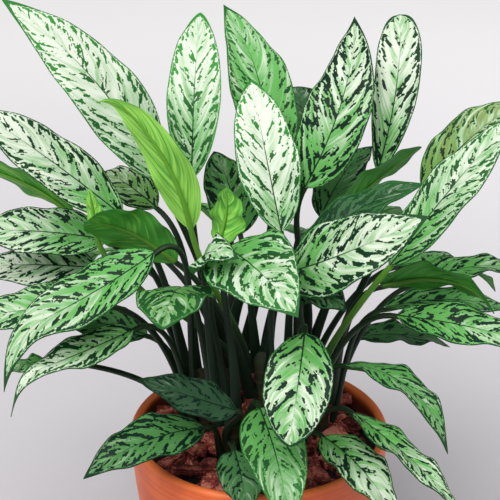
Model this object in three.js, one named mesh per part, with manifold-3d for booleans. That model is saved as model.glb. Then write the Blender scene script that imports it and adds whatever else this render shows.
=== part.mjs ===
// A potted Chinese evergreen (Aglaonema): a terracotta pot filled with soil and bark mulch, short canes,
// and leaves that are each grown as one piece, stalk and blade together.
// Millimetres, +Z up. The origin is the centre of the pot's flat base; -Y is the plant's front.

import * as THREE from "three";
import { mergeVertices } from "three/addons/utils/BufferGeometryUtils.js";
import Module from "manifold-3d";

const wasm = await Module();
wasm.setup();

// ---------------------------------------------------------------- driving dimensions

const FIT_GAP = 0.3; // between pieces that touch

const POT_HEIGHT = 180;
const POT_RIM_RADIUS = 100;
const POT_BASE_RADIUS = 73;
const POT_WALL = 7;
const POT_FLOOR = 10;
const POT_SIDES = 32;

const SOIL_TOP = 160;
const SOIL_MOUND = 3; // how much the middle of the soil stands above its edge
const CANE_RADIUS = 6.5;
const CANE_DEPTH = 40; // how far a cane reaches down into the soil
const CANE_SIDES = 8;

const MULCH_LAYER = 4; // matted layer that the chips are sunk into
const CHIP_COUNT = 44;
const CHIP_CLEARANCE = 23; // between a chip's middle and a cane's axis
const CHIP_SEED = 11;
const CHIP_RISE = 2.5; // of a chip's middle above the layer
const GOLDEN_ANGLE = 2.39996; // spreads the chips evenly, radians

const STALK_ROOT_RADIUS = 3.2;
const STALK_TOP_RADIUS = 2.1;
const STALK_STEPS = 6;
const BLADE_THICKNESS = 0.9;
const RIB_DEPTH = 2.2; // how far the midrib stands out under the blade at its base
const TIP_HALF_WIDTH = 0.8;
const BASE_FULLNESS = 0.62; // how round the blade's base is: less is rounder
const NOD_START = 0.65; // share of the blade's length from which it nods
const NOD_BACK = 0.4; // how far back a nodding tip goes for every millimetre down
const WAVES = 2.6; // waves along each margin
const WAVE_OFFSET = 2.1; // by which the right margin's waves are ahead of the left one's, radians
const WAVE_STEP = 1.7; // from one leaf to the next, radians
const DROOP = 0.16; // how far the margins bend down again, as a share of half the width
// shares of the blade's length at which its outline is set
const BLADE_STATIONS = [0, 0.05, 0.14, 0.25, 0.37, 0.49, 0.61, 0.72, 0.83, 0.93, 1];
const BLADE_ACROSS = [-1, -0.5, 0, 0.5, 1]; // from the left margin over the midrib to the right margin

const UP = new THREE.Vector3(0, 0, 1);

// ---------------------------------------------------------------- canes: [x, y, height above the soil]

const CANES = {
  left: [-44, 2, 66],
  frontLeft: [-20, -32, 60],
  frontRight: [24, -34, 58],
  right: [48, 0, 64],
  backRight: [26, 38, 74],
  backLeft: [-22, 38, 74],
  middle: [2, 2, 80],
};

// ---------------------------------------------------------------- leaves
// One leaf a line: [cane, rise, swing, base, tip, width, form].
// rise: height above the soil at which the stalk leaves its cane. swing: how far round the cane it
// stands from the way to its blade, degrees. base, tip: the two ends of the blade. width: at its widest.
// form, where it isn't the usual one:
// bow: how high the midrib arches over the straight line, as a share of the blade's length; crest: how
// far along it is highest; sway: how far it bends sideways, as a share of the length.
// nod: how far the last third of the blade curls down and back from the tip's point, as a share of the
// length.
// roll: how far the blade is turned about its midrib at its middle, degrees; twist: how much more of
// that there is at its tip than at its base.
// fold: how steeply the halves rise from the midrib, degrees. wave: height of the margin's waves.
// taper: how drawn-out the tip is: under 0.8 is blunt, and over 1.1 is long and thin.

const USUAL_FORM = {
  bow: 0.1, crest: 0.5, sway: 0, nod: 0.03, roll: 0, twist: 0, fold: 14, wave: 2.2, taper: 1,
};

const LEAVES = [
  // upper left
  ["backLeft", 54, 35, [-72, 5, 382], [-180, 25, 508], 50, { bow: 0.06, sway: 0.05, nod: 0, roll: -45 }],
  ["backLeft", 68, -5, [-50, 25, 375], [-45, 110, 478], 40, { nod: 0, taper: 0.75 }],
  ["backLeft", 58, 0, [10, 50, 370], [-28, 150, 475], 50, { sway: 0.03, nod: 0, twist: 14 }],
  ["middle", 74, 60, [16, 5, 341], [-6, 80, 434], 48, { bow: 0.06, sway: -0.02, nod: 0, taper: 0.8 }],
  ["backRight", 68, 0, [34, 35, 364], [73, 110, 475], 52, { sway: 0.11, nod: 0, twist: -12, taper: 1.1 }],
  ["backRight", 44, -25, [90, 54, 370], [108, 114, 481], 35, { sway: 0.06, nod: 0.04, taper: 0.45 }],
  // upper right
  ["right", 58, 15, [122, 32, 363], [195, 50, 428], 42, { roll: 30, twist: -20, taper: 0.75 }],
  ["frontRight", 48, 15, [92, -35, 332], [182, 15, 427], 40, { sway: 0.05, nod: 0, roll: 15, taper: 0.9 }],
  ["middle", 52, -40, [28, -12, 326], [122, 14, 378], 36, { roll: 15 }],
  ["frontRight", 42, 0, [19, -38, 328], [108, -90, 392], 52, { sway: 0.07, nod: 0, roll: 55, taper: 0.9 }],
  ["backRight", 54, -40, [47, 24, 338], [122, 46, 395], 40, { bow: 0.01, roll: -50, taper: 0.8 }],
  // right
  ["right", 44, -25, [88, -18, 308], [165, -62, 312], 36, { bow: 0.16, nod: 0.06, roll: -50 }],
  ["frontRight", 30, 10, [97, -52, 301], [195, -75, 288], 34, { bow: 0.05, roll: 25 }],
  ["right", 38, 0, [115, 14, 294], [212, 35, 294], 38, {}],
  ["right", 26, -10, [93, -10, 286], [200, -10, 278], 38, {}],
  ["backRight", 14, -10, [75, 26, 243], [155, 50, 223], 38, { bow: 0.06 }],
  // front right
  ["frontRight", 26, 0, [61, -65, 269], [127, -138, 250], 34, { bow: 0.15, nod: 0.1, roll: -10 }],
  ["frontRight", 12, -12, [66, -85, 241], [131, -168, 218], 32, { bow: 0.03, nod: 0.04, roll: -15 }],
  ["frontRight", 16, -32, [45, -85, 222], [92, -150, 196], 38, {}],
  ["frontRight", 36, -26, [30, -85, 304], [18, -150, 257], 46, { sway: -0.02, taper: 0.62 }],
  // front left
  ["frontLeft", 16, 20, [0, -85, 245], [20, -165, 203], 44, {}],
  ["frontLeft", 12, -10, [-18, -82, 208], [-9, -124, 188], 34, { taper: 0.8 }],
  ["frontLeft", 14, -30, [-41, -65, 217], [-123, -115, 209], 41, { roll: -15 }],
  ["frontLeft", 30, -35, [-17, -68, 233], [-84, -92, 272], 32, { bow: 0, nod: 0, roll: -35 }],
  // left
  ["left", 44, 5, [-74, -45, 346], [-193, -85, 292], 46, { bow: -0.05, nod: 0.27, roll: -25, taper: 1.1 }],
  ["left", 22, 5, [-91, -45, 286], [-182, -101, 272], 32, { bow: -0.02, nod: 0.26, roll: -15, taper: 1.6 }],
  ["left", 12, -25, [-85, 0, 258], [-150, 10, 262], 34, { roll: -20 }],
  ["left", 54, -10, [-113, 15, 330], [-225, 30, 330], 42, { bow: 0.06, roll: -35 }],
  ["left", 38, -25, [-125, 30, 300], [-230, 60, 285], 38, { bow: 0.05, roll: -35 }],
  ["left", 32, 0, [-117, -15, 290], [-220, -20, 280], 40, { bow: 0.05, roll: -30 }],
  ["left", 60, 20, [-99, -4, 357], [-208, 6, 439], 42, { bow: 0.04, nod: 0.02, roll: -40, taper: 0.9 }],
  ["backLeft", 36, -30, [-140, 45, 337], [-240, 60, 374], 38, { roll: 50 }],
  ["middle", 66, -20, [-49, -20, 354], [-119, -30, 471], 29,
    { bow: 0, sway: -0.1, nod: 0.16, roll: 80, taper: 1.5 }],
  ["middle", 46, 15, [-60, -20, 328], [-121, -52, 373], 40, { bow: 0.12, roll: 60, taper: 0.7 }],
  ["frontLeft", 52, -20, [-29, -24, 343], [-23, -14, 383], 34, { nod: 0, roll: 165, taper: 0.8 }],
  ["frontLeft", 46, 25, [-23, -48, 351], [24, -135, 344], 60, { bow: 0.1, roll: 25, twist: 10, wave: 3 }],
  ["frontLeft", 36, -50, [-52, -50, 322], [-63, -126, 330], 52,
    { bow: 0.12, roll: 5, fold: 4, wave: 3.2, taper: 0.8 }],
  // inner
  ["left", 58, -10, [-78, 44, 344], [-124, 85, 359], 30, { roll: -30 }],
  ["backRight", 54, 0, [48, 64, 328], [92, 118, 370], 38, {}],
  ["frontRight", 52, 40, [32, -48, 318], [58, -86, 322], 28, { roll: 20 }],
  // rear
  ["backRight", 24, -10, [110, 60, 288], [203, 120, 240], 44, {}],
  ["backRight", 32, 15, [75, 110, 310], [130, 215, 255], 48, {}],
  ["backRight", 22, 15, [35, 130, 285], [55, 240, 215], 48, {}],
  ["backLeft", 34, 0, [-25, 130, 300], [-40, 245, 250], 50, {}],
  ["backLeft", 16, -30, [-90, 105, 280], [-165, 190, 220], 48, {}],
  // small ones, and two behind the others
  ["left", 14, 20, [-160, 0, 235], [-194, -10, 229], 20, { taper: 0.9 }],
  ["backLeft", 60, 40, [37, 112, 356], [33, 160, 407], 42, { taper: 0.6 }],
  ["middle", 44, -22, [-115, -25, 353], [-119, -24, 386], 15, { bow: 0.02, nod: 0, roll: 70, wave: 0.8 }],
  ["frontLeft", 52, -20, [-40, -58, 341], [-14, -99, 366], 30, { bow: 0.2, roll: 35, nod: 0 }],
  ["middle", 60, 0, [-14, 44, 322], [-36, 100, 372], 44, {}],
].map(([cane, rise, swing, base, tip, width, form]) => ({
  cane, rise, swing, base, tip, width, ...USUAL_FORM, ...form,
}));

// ---------------------------------------------------------------- helpers

const toVector = (point) => new THREE.Vector3(...point);

/** A small repeatable random source: the same seed always gives the same draws from 0 to 1. */
function seededRandom(seed) {
  let state = seed >>> 0;
  return () => {
    state = (Math.imul(state, 1664525) + 1013904223) >>> 0;
    return state / 4294967296;
  };
}

function geometryFrom(points, triangles) {
  const geometry = new THREE.BufferGeometry();
  geometry.setAttribute("position", new THREE.Float32BufferAttribute(points.flatMap((p) => p.toArray()), 3));
  geometry.setIndex(triangles);
  return geometry;
}

/** A three.js geometry as a manifold-3d solid, its shared vertices merged. */
function solidFrom(geometry) {
  const bare = geometry.clone();
  bare.deleteAttribute("normal");
  bare.deleteAttribute("uv");
  const merged = mergeVertices(bare, 1e-4);
  return new wasm.Manifold(
    new wasm.Mesh({
      numProp: 3,
      vertProperties: new Float32Array(merged.attributes.position.array),
      triVerts: new Uint32Array(merged.index.array),
    }),
  );
}

function geometryFromSolid(solid) {
  const mesh = solid.getMesh();
  const geometry = new THREE.BufferGeometry();
  geometry.setAttribute("position", new THREE.Float32BufferAttribute(mesh.vertProperties, 3));
  geometry.setIndex([...mesh.triVerts]);
  return geometry;
}

/** A body turned about the vertical from [radius, height] points that start and end on the axis. */
function turned(profile, sides) {
  const geometry = new THREE.LatheGeometry(profile.map(([r, z]) => new THREE.Vector2(r, z)), sides);
  return geometry.rotateX(Math.PI / 2);
}

// ---------------------------------------------------------------- pot, soil, mulch, canes

/** Outer radius of the pot at a height: nearly upright at the rim, drawn in towards the base. */
function potRadius(height) {
  const share = Math.min(height / POT_HEIGHT, 1);
  return POT_BASE_RADIUS + (POT_RIM_RADIUS - POT_BASE_RADIUS) * (1 - (1 - share) ** 1.7);
}

function potGeometry() {
  const lip = POT_WALL / 2;
  const rise = [0.1, 0.25, 0.42, 0.6, 0.8].map((share) => share * POT_HEIGHT);
  const outside = rise.map((z) => [potRadius(z), z]);
  const lipCentre = POT_RIM_RADIUS - lip;
  const rim = [0, 45, 90, 135, 180].map((degrees) => {
    const angle = THREE.MathUtils.degToRad(degrees);
    return [lipCentre + lip * Math.cos(angle), POT_HEIGHT - lip + lip * Math.sin(angle)];
  });
  const inside = rise.slice(1).reverse().map((z) => [potRadius(z) - POT_WALL, z]);
  const floor = [[POT_BASE_RADIUS - POT_WALL, POT_FLOOR], [0, POT_FLOOR]];
  const foot = [[0, 0], [POT_BASE_RADIUS - 2, 0], [POT_BASE_RADIUS, 2]];
  return turned([...foot, ...outside, ...rim, ...inside, ...floor], POT_SIDES);
}

function soilTop(radius) {
  return SOIL_TOP + SOIL_MOUND * (1 - (radius / POT_RIM_RADIUS) ** 2);
}

/** A cylinder round a cane's axis, to cut the hole that the cane stands in. */
function caneHole([x, y], radius, bottom, top) {
  const hole = new THREE.CylinderGeometry(radius, radius, top - bottom, 2 * CANE_SIDES);
  return solidFrom(hole.rotateX(Math.PI / 2).translate(x, y, (top + bottom) / 2));
}

/** Half the distance between opposite sides, made up so that a faceted hole clears a faceted cane. */
const HOLE_RADIUS = (CANE_RADIUS + FIT_GAP) / Math.cos(Math.PI / (2 * CANE_SIDES));

function withCaneHoles(solid, bottom, top, clearance) {
  return Object.values(CANES).reduce(
    (body, cane) => body.subtract(caneHole(cane, HOLE_RADIUS + clearance, bottom, top)),
    solid,
  );
}

function soilGeometry() {
  const clear = POT_WALL + FIT_GAP;
  const levels = [0.25, 0.6, 0.8].map((share) => share * POT_HEIGHT);
  const side = levels.map((z) => [potRadius(z) - clear, z]);
  const edge = potRadius(SOIL_TOP) - clear - 0.5;
  const top = [1, 0.5, 0].map((share) => [share * edge, soilTop(share * edge)]);
  const bottom = POT_FLOOR + FIT_GAP;
  const profile = [[0, bottom], [POT_BASE_RADIUS - clear, bottom], ...side, ...top];
  const body = solidFrom(turned(profile, POT_SIDES));
  return geometryFromSolid(withCaneHoles(body, SOIL_TOP - CANE_DEPTH - FIT_GAP, SOIL_TOP + 20, 0));
}

/** One rough bark chip: a box with its corners pushed about, tipped and laid on the mulch. */
function barkChip(random) {
  const length = 14 + 14 * random();
  const chip = new THREE.BoxGeometry(length, length * (0.45 + 0.3 * random()), 6 + 5 * random());
  const merged = mergeVertices(chip.deleteAttribute("normal").deleteAttribute("uv"));
  const corners = merged.attributes.position;
  for (let i = 0; i < corners.count; i += 1) {
    const shrink = 0.72 + 0.28 * random();
    const narrow = 0.7 + 0.3 * random();
    corners.setXYZ(i, corners.getX(i) * shrink, corners.getY(i) * narrow, corners.getZ(i) * shrink);
  }
  merged.rotateX((random() - 0.5) * 0.7).rotateY((random() - 0.5) * 0.6).rotateZ(random() * Math.PI);
  return merged;
}

function mulchGeometry() {
  const random = seededRandom(CHIP_SEED);
  const edge = potRadius(SOIL_TOP) - POT_WALL - 2;
  const reach = edge - 12;
  const lift = (share) => soilTop(share * edge) + FIT_GAP;
  const under = [0, 0.5, 1].map((share) => [share * edge, lift(share)]);
  const over = [1, 0.5, 0].map((share) => [share * edge, lift(share) + MULCH_LAYER]);
  let body = solidFrom(turned([...under, ...over], POT_SIDES));
  for (let i = 0; i < CHIP_COUNT; i += 1) {
    const radius = reach * Math.sqrt((i + 0.5) / CHIP_COUNT);
    const angle = i * GOLDEN_ANGLE + 0.3 * random();
    const [x, y] = [radius * Math.cos(angle), radius * Math.sin(angle)];
    const chip = barkChip(random);
    if (Object.values(CANES).some((cane) => Math.hypot(x - cane[0], y - cane[1]) < CHIP_CLEARANCE)) continue;
    chip.translate(x, y, soilTop(radius) + MULCH_LAYER + CHIP_RISE);
    body = body.add(solidFrom(chip));
  }
  const upper = [...under].reverse();
  const soil = solidFrom(turned([[0, 0], [POT_RIM_RADIUS, 0], ...upper], POT_SIDES));
  return geometryFromSolid(withCaneHoles(body.subtract(soil), SOIL_TOP - 5, SOIL_TOP + 40, 0.8));
}

function caneGeometry([, , height]) {
  const foot = SOIL_TOP - CANE_DEPTH;
  const top = SOIL_TOP + height;
  const profile = [
    [0, foot],
    [CANE_RADIUS * 0.8, foot],
    [CANE_RADIUS, foot + 8],
    [CANE_RADIUS, top - 4],
    [CANE_RADIUS * 0.6, top],
    [0, top],
  ];
  return turned(profile, CANE_SIDES);
}

// ---------------------------------------------------------------- a leaf

/** Half the blade's width at a share of its length: a rounded base and a drawn-out tip. */
function bladeHalfWidth(share, leaf) {
  const widest = BASE_FULLNESS / (BASE_FULLNESS + leaf.taper);
  const peak = widest ** BASE_FULLNESS * (1 - widest) ** leaf.taper;
  const outline = (share ** BASE_FULLNESS * (1 - share) ** leaf.taper) / peak;
  const least = THREE.MathUtils.lerp(STALK_TOP_RADIUS, TIP_HALF_WIDTH, share);
  return Math.max((leaf.width / 2) * outline, least);
}

/** How far a point of the upper face stands off the midrib's plane. across is -1 to 1. */
function bladeLift(share, across, half, leaf, phase) {
  const out = Math.abs(across);
  const fold = half * out * Math.tan(THREE.MathUtils.degToRad(leaf.fold));
  const droop = DROOP * half * out * out;
  const side = across < 0 ? 0 : WAVE_OFFSET;
  const wave = leaf.wave * out ** 1.5 * Math.sin(2 * Math.PI * WAVES * share + phase + side);
  return fold - droop + wave * Math.sin(Math.PI * Math.min(share + 0.02, 1));
}

/** The midrib: a plain arch from the blade's base to its tip, whose last third nods. */
class Midrib extends THREE.Curve {
  constructor(base, crown, tip, drop) {
    super();
    this.arch = new THREE.QuadraticBezierCurve3(base, crown, tip);
    this.fall = tip.clone().sub(base).setZ(0).normalize().multiplyScalar(NOD_BACK).add(UP);
    this.fall.multiplyScalar(-drop);
  }

  getPoint(share, target = new THREE.Vector3()) {
    const nodding = Math.max(0, (share - NOD_START) / (1 - NOD_START));
    return this.arch.getPoint(share, target).addScaledVector(this.fall, nodding ** 2);
  }
}

/** The midrib's curve, and the blade's sideways direction. */
function bladeFrame(leaf) {
  const base = toVector(leaf.base);
  const tip = toVector(leaf.tip);
  const chord = tip.clone().sub(base);
  const length = chord.length();
  chord.normalize();
  const above = UP.clone().addScaledVector(chord, -UP.dot(chord)).normalize();
  const turn = THREE.MathUtils.degToRad(leaf.roll);
  const level = new THREE.Vector3().crossVectors(chord, above);
  const crown = base.clone()
    .addScaledVector(chord, length * leaf.crest)
    .addScaledVector(above.clone().applyAxisAngle(chord, turn), 2 * leaf.bow * length)
    .addScaledVector(level.clone().applyAxisAngle(chord, turn), 2 * leaf.sway * length);
  return { midrib: new Midrib(base, crown, tip, leaf.nod * length), side: level, base };
}

/** The blade's sideways direction at a share of its length, square to the midrib there. */
function sideAt(leaf, frame, tangent, share) {
  const level = frame.side.clone().addScaledVector(tangent, -frame.side.dot(tangent)).normalize();
  const turn = leaf.roll + leaf.twist * (share - 0.5);
  return level.applyAxisAngle(tangent, THREE.MathUtils.degToRad(turn));
}

/** Distance from a cane's axis to its faceted side in a direction. The lathe has a corner on each axis. */
function caneSide(direction) {
  const step = (2 * Math.PI) / CANE_SIDES;
  const angle = Math.atan2(direction.y, direction.x) - Math.PI / 2 + 4 * Math.PI;
  return (CANE_RADIUS * Math.cos(step / 2)) / Math.cos((angle % step) - step / 2);
}

/** Where the stalk leaves its cane, on the side that faces the blade. */
function stalkRoot(leaf, base) {
  const [x, y] = CANES[leaf.cane];
  const axis = new THREE.Vector3(x, y, SOIL_TOP + leaf.rise);
  const away = base.clone().sub(axis).setZ(0).normalize();
  away.applyAxisAngle(UP, THREE.MathUtils.degToRad(leaf.swing));
  return { point: axis.addScaledVector(away, caneSide(away) + FIT_GAP + STALK_ROOT_RADIUS), away };
}

/** Rings of the stalk from the cane to the blade, their five points in the order of the blade's ring. */
function stalkRings(leaf, frame) {
  const { point, away } = stalkRoot(leaf, frame.base);
  const reach = frame.base.distanceTo(point);
  const into = frame.midrib.getTangent(0);
  const leave = point.clone().addScaledVector(UP, reach * 0.42).addScaledVector(away, reach * 0.1);
  const arrive = frame.base.clone().addScaledVector(into, -reach * 0.3);
  const path = new THREE.CubicBezierCurve3(point, leave, arrive, frame.base);
  const rings = [];
  let side = sideAt(leaf, frame, into, 0);
  for (let step = STALK_STEPS - 1; step >= 0; step -= 1) {
    const share = step / STALK_STEPS;
    const tangent = path.getTangent(share);
    side = side.clone().addScaledVector(tangent, -side.dot(tangent)).normalize();
    const normal = new THREE.Vector3().crossVectors(side, tangent);
    const radius = THREE.MathUtils.lerp(STALK_ROOT_RADIUS, STALK_TOP_RADIUS, share ** 0.7);
    const centre = path.getPoint(share);
    rings.unshift([162, 90, 18, -54, -126].map((degrees) => {
      const angle = THREE.MathUtils.degToRad(degrees);
      return centre.clone()
        .addScaledVector(side, radius * Math.cos(angle))
        .addScaledVector(normal, radius * Math.sin(angle));
    }));
  }
  return rings;
}

/** Rings of the blade: the upper face from left to right, then the lower face back. */
function bladeRings(leaf, frame, phase) {
  return BLADE_STATIONS.map((share) => {
    const tangent = frame.midrib.getTangent(share);
    const side = sideAt(leaf, frame, tangent, share);
    const normal = new THREE.Vector3().crossVectors(side, tangent);
    const centre = frame.midrib.getPoint(share);
    const half = bladeHalfWidth(share, leaf);
    const rib = RIB_DEPTH * (1 - share) ** 1.5;
    const place = (across, drop) => centre.clone()
      .addScaledVector(side, across * half)
      .addScaledVector(normal, bladeLift(share, across, half, leaf, phase) - drop);
    const upper = BLADE_ACROSS.map((across) => place(across, 0));
    const lower = [...BLADE_ACROSS].reverse().map((across) =>
      place(across, BLADE_THICKNESS + rib * Math.max(0, 1 - 1.5 * Math.abs(across))));
    return [...upper, ...lower];
  });
}

/** The stalk's five-sided rings, joined to the blade's ten-sided ones, closed at both ends. */
function leafGeometry(leaf, phase) {
  const frame = bladeFrame(leaf);
  const stalk = stalkRings(leaf, frame);
  const blade = bladeRings(leaf, frame, phase);
  const points = [...stalk.flat(), ...blade.flat()];
  const triangles = [];
  const thin = stalk[0].length;
  const wide = blade[0].length;
  const top = BLADE_ACROSS.length - 1;
  const stalkPoint = (ring, i) => ring * thin + (i % thin);
  const bladePoint = (ring, i) => stalk.length * thin + ring * wide + (i % wide);
  for (let i = 1; i < thin - 1; i += 1) {
    triangles.push(stalkPoint(0, 0), stalkPoint(0, i + 1), stalkPoint(0, i));
  }
  for (let ring = 0; ring < stalk.length - 1; ring += 1) {
    for (let i = 0; i < thin; i += 1) {
      const [a, b] = [stalkPoint(ring, i), stalkPoint(ring, i + 1)];
      const [c, d] = [stalkPoint(ring + 1, i + 1), stalkPoint(ring + 1, i)];
      triangles.push(a, b, c, a, c, d);
    }
  }
  for (let i = 0; i < thin; i += 1) {
    const [a, b] = [stalkPoint(stalk.length - 1, i), stalkPoint(stalk.length - 1, i + 1)];
    const [c, d, e] = [bladePoint(0, 2 * i), bladePoint(0, 2 * i + 1), bladePoint(0, 2 * i + 2)];
    triangles.push(a, d, c, a, e, d, a, b, e);
  }
  for (let ring = 0; ring < blade.length - 1; ring += 1) {
    for (let i = 0; i < wide; i += 1) {
      const [a, b] = [bladePoint(ring, i), bladePoint(ring, i + 1)];
      const [c, d] = [bladePoint(ring + 1, i + 1), bladePoint(ring + 1, i)];
      // the lower face is split along the same diagonals as the upper one
      if (i > top) triangles.push(a, b, d, b, c, d);
      else triangles.push(a, b, c, a, c, d);
    }
  }
  const last = blade.length - 1;
  for (let i = 0; i < top; i += 1) {
    const [a, b] = [bladePoint(last, i), bladePoint(last, i + 1)];
    const [c, d] = [bladePoint(last, wide - 2 - i), bladePoint(last, wide - 1 - i)];
    triangles.push(a, b, c, a, c, d);
  }
  return geometryFrom(points, triangles);
}

// ---------------------------------------------------------------- the plant

const FINISHES = {
  terracotta: new THREE.MeshStandardMaterial({ color: 0xc8683a, roughness: 0.6, metalness: 0 }),
  soil: new THREE.MeshStandardMaterial({ color: 0x2b1d16, roughness: 1, metalness: 0 }),
  bark: new THREE.MeshStandardMaterial({ color: 0x6b3a26, roughness: 0.95, metalness: 0 }),
  cane: new THREE.MeshStandardMaterial({ color: 0x5d7d45, roughness: 0.7, metalness: 0 }),
  leaf: new THREE.MeshStandardMaterial({ color: 0xb9d8a8, roughness: 0.45, metalness: 0 }),
};

const plant = new THREE.Group();

function addPiece(name, geometry, finish) {
  const piece = new THREE.Mesh(geometry, finish);
  piece.name = name;
  plant.add(piece);
}

addPiece("pot", potGeometry(), FINISHES.terracotta);
addPiece("soil", soilGeometry(), FINISHES.soil);
addPiece("bark_mulch", mulchGeometry(), FINISHES.bark);
Object.values(CANES).forEach((cane, i) => {
  const stem = caneGeometry(cane).translate(cane[0], cane[1], 0);
  addPiece(`cane_${i + 1}`, stem, FINISHES.cane);
});
LEAVES.forEach((leaf, i) => {
  const name = `leaf_${String(i + 1).padStart(2, "0")}`;
  addPiece(name, leafGeometry(leaf, WAVE_STEP * i), FINISHES.leaf);
});

export default plant;
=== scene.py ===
"""A potted Chinese evergreen (Aglaonema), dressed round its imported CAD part.

Lengths in the tables and dataclasses are millimetres, apart from the studio's, which are metres, and
MM turns them into the scene's metres. The origin is the centre of the pot's flat base, +Z is up and -Y
is the plant's front. Every piece stands for a CAD node and has the same driving dimensions.
"""

import logging
import math
import random
from collections.abc import Callable
from dataclasses import dataclass
from enum import Enum
from functools import cache
from itertools import pairwise

import bpy
import numpy as np
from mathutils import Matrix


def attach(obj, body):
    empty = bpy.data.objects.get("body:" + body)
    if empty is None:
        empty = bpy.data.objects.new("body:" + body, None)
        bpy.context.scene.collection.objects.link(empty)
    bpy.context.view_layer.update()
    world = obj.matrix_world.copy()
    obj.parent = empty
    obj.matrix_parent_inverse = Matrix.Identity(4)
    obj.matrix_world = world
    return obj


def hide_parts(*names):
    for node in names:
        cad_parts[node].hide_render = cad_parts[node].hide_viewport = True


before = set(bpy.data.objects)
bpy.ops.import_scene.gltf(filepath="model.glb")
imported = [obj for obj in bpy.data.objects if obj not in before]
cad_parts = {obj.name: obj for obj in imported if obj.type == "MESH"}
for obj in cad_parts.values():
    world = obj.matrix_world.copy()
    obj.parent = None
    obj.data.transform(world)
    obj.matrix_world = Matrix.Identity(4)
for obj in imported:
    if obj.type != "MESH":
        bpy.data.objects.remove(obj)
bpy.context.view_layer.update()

LOG = logging.getLogger("evergreen")
MM = 0.001
UP = np.array([0.0, 0.0, 1.0])
LEVEL = np.array([1.0, 1.0, 0.0])  # takes the level part of a vector
SOIL_TOP = 160.0
CANE_RADIUS = 6.5
HUB = 2.0  # radius of the small flat that closes the skin of a turned body

Colour = tuple[float, float, float]
Point = tuple[float, float, float]
Pair = tuple[float, float]
Ramp = tuple[float, ...]  # where an effect starts and where it is whole, and its strength unless 1
Grain = tuple[float, ...]  # how fine a noise is along two axes, then its strength or its detail and scale
Rings = list[Pair]
Array = np.ndarray
Arrays = tuple[Array, ...]
Socket = bpy.types.NodeSocket
Tree = bpy.types.NodeTree
Material = bpy.types.Material
Piece = bpy.types.Object


# ---- named options


class Slot(Enum):
    """The record's material slots."""

    TERRACOTTA = "terracotta"
    SOIL = "soil"
    BARK = "bark"
    CANE = "cane"
    LEAF = "leaf"


class Stem(Enum):
    """The canes: where each stands and how high it reaches above the soil."""

    LEFT = (-44, 2, 66)
    FRONT_LEFT = (-20, -32, 60)
    FRONT_RIGHT = (24, -34, 58)
    RIGHT = (48, 0, 64)
    BACK_RIGHT = (26, 38, 74)
    BACK_LEFT = (-22, 38, 74)
    MIDDLE = (2, 2, 80)


# ---- node helpers


def arithmetic(operation: str) -> Callable[["Value", "Feed"], "Value"]:
    """A method that adds a Math node on the value and another."""
    return lambda self, other: self.graph.math(operation, self, other)


class Value:
    """What a node puts out. Arithmetic on it adds the nodes that work the result out."""

    __add__ = arithmetic("ADD")
    __sub__ = arithmetic("SUBTRACT")
    __mul__ = arithmetic("MULTIPLY")
    __pow__ = arithmetic("POWER")
    above = arithmetic("GREATER_THAN")

    def __init__(self, graph: "Graph", socket: Socket) -> None:
        """Keeps the socket, and the graph that its next nodes go into."""
        self.graph = graph
        self.socket = socket

    def __rsub__(self, other: float) -> "Value":
        """A number less this."""
        return self.graph.math("SUBTRACT", other, self)

    def __abs__(self) -> "Value":
        """This without its sign."""
        return self.graph.math("ABSOLUTE", self)

    def step(self, start: "Feed", whole: "Feed", strength: float = 1.0) -> "Value":
        """0 short of start and strength past whole, smooth between them; start may be the higher."""
        values = {"Value": self, "From Min": start, "From Max": whole, "To Max": strength}
        return self.graph.add("MapRange", values, interpolation_type="SMOOTHSTEP")[0]

    def split(self) -> list["Value"]:
        """The three numbers of a vector."""
        return self.graph.add("SeparateXYZ", {0: self})


Feed = float | Colour | Value


class Graph:
    """Adds nodes to one node tree and links them as it goes."""

    def __init__(self, tree: Tree) -> None:
        """Keeps the node tree that the nodes go into."""
        self.tree = tree

    def feed(self, socket: Socket, value: Feed) -> None:
        """Links a value to an input, or sets the input's own value.

        Args:
            socket: The input.
            value: What a node puts out, a number or a colour.
        """
        if isinstance(value, Value):
            self.tree.links.new(value.socket, socket)
        elif isinstance(value, tuple) and socket.type == "RGBA":
            socket.default_value = (*value, 1.0)
        else:
            socket.default_value = value

    def add(self, kind: str, values: dict[str | int, Feed] | None = None, **settings: object) -> list[Value]:
        """Adds a node.

        Args:
            kind: The node's type without the leading "ShaderNode".
            values: What goes into its inputs, by name or number.
            **settings: The node's own properties.

        Returns:
            Everything that it puts out.
        """
        node = self.tree.nodes.new("ShaderNode" + kind)
        for name, value in settings.items():
            setattr(node, name, value)
        for name, value in (values or {}).items():
            self.feed(node.inputs[name], value)
        return [Value(self, socket) for socket in node.outputs]

    def math(self, operation: str, *terms: Feed) -> Value:
        """The result of a Math node with these terms."""
        return self.add("Math", dict(enumerate(terms)), operation=operation)[0]

    def join(self, x: Feed, y: Feed, z: Feed) -> Value:
        """A vector made of three numbers."""
        return self.add("CombineXYZ", {0: x, 1: y, 2: z})[0]

    def coated(self, colour: Feed, *coats: tuple[Feed, Feed]) -> Value:
        """A colour under coats, each of them a share and the colour that it covers with.

        Args:
            colour: The colour underneath.
            *coats: Each coat's share and colour, the lowest coat first.

        Returns:
            The colour on top.
        """
        for share, coat in coats:
            colour = self.add("Mix", {0: share, 6: colour, 7: coat}, data_type="RGBA")[2]
        return colour

    def noise(self, place: Value, scale: Feed = 1.0, detail: float = 2.0, rough: float = 0.5) -> Value:
        """Smooth noise from 0 to 1 at a place."""
        values = {"Vector": place, "Scale": scale, "Detail": detail, "Roughness": rough}
        return self.add("TexNoise", values)[0]


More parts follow.
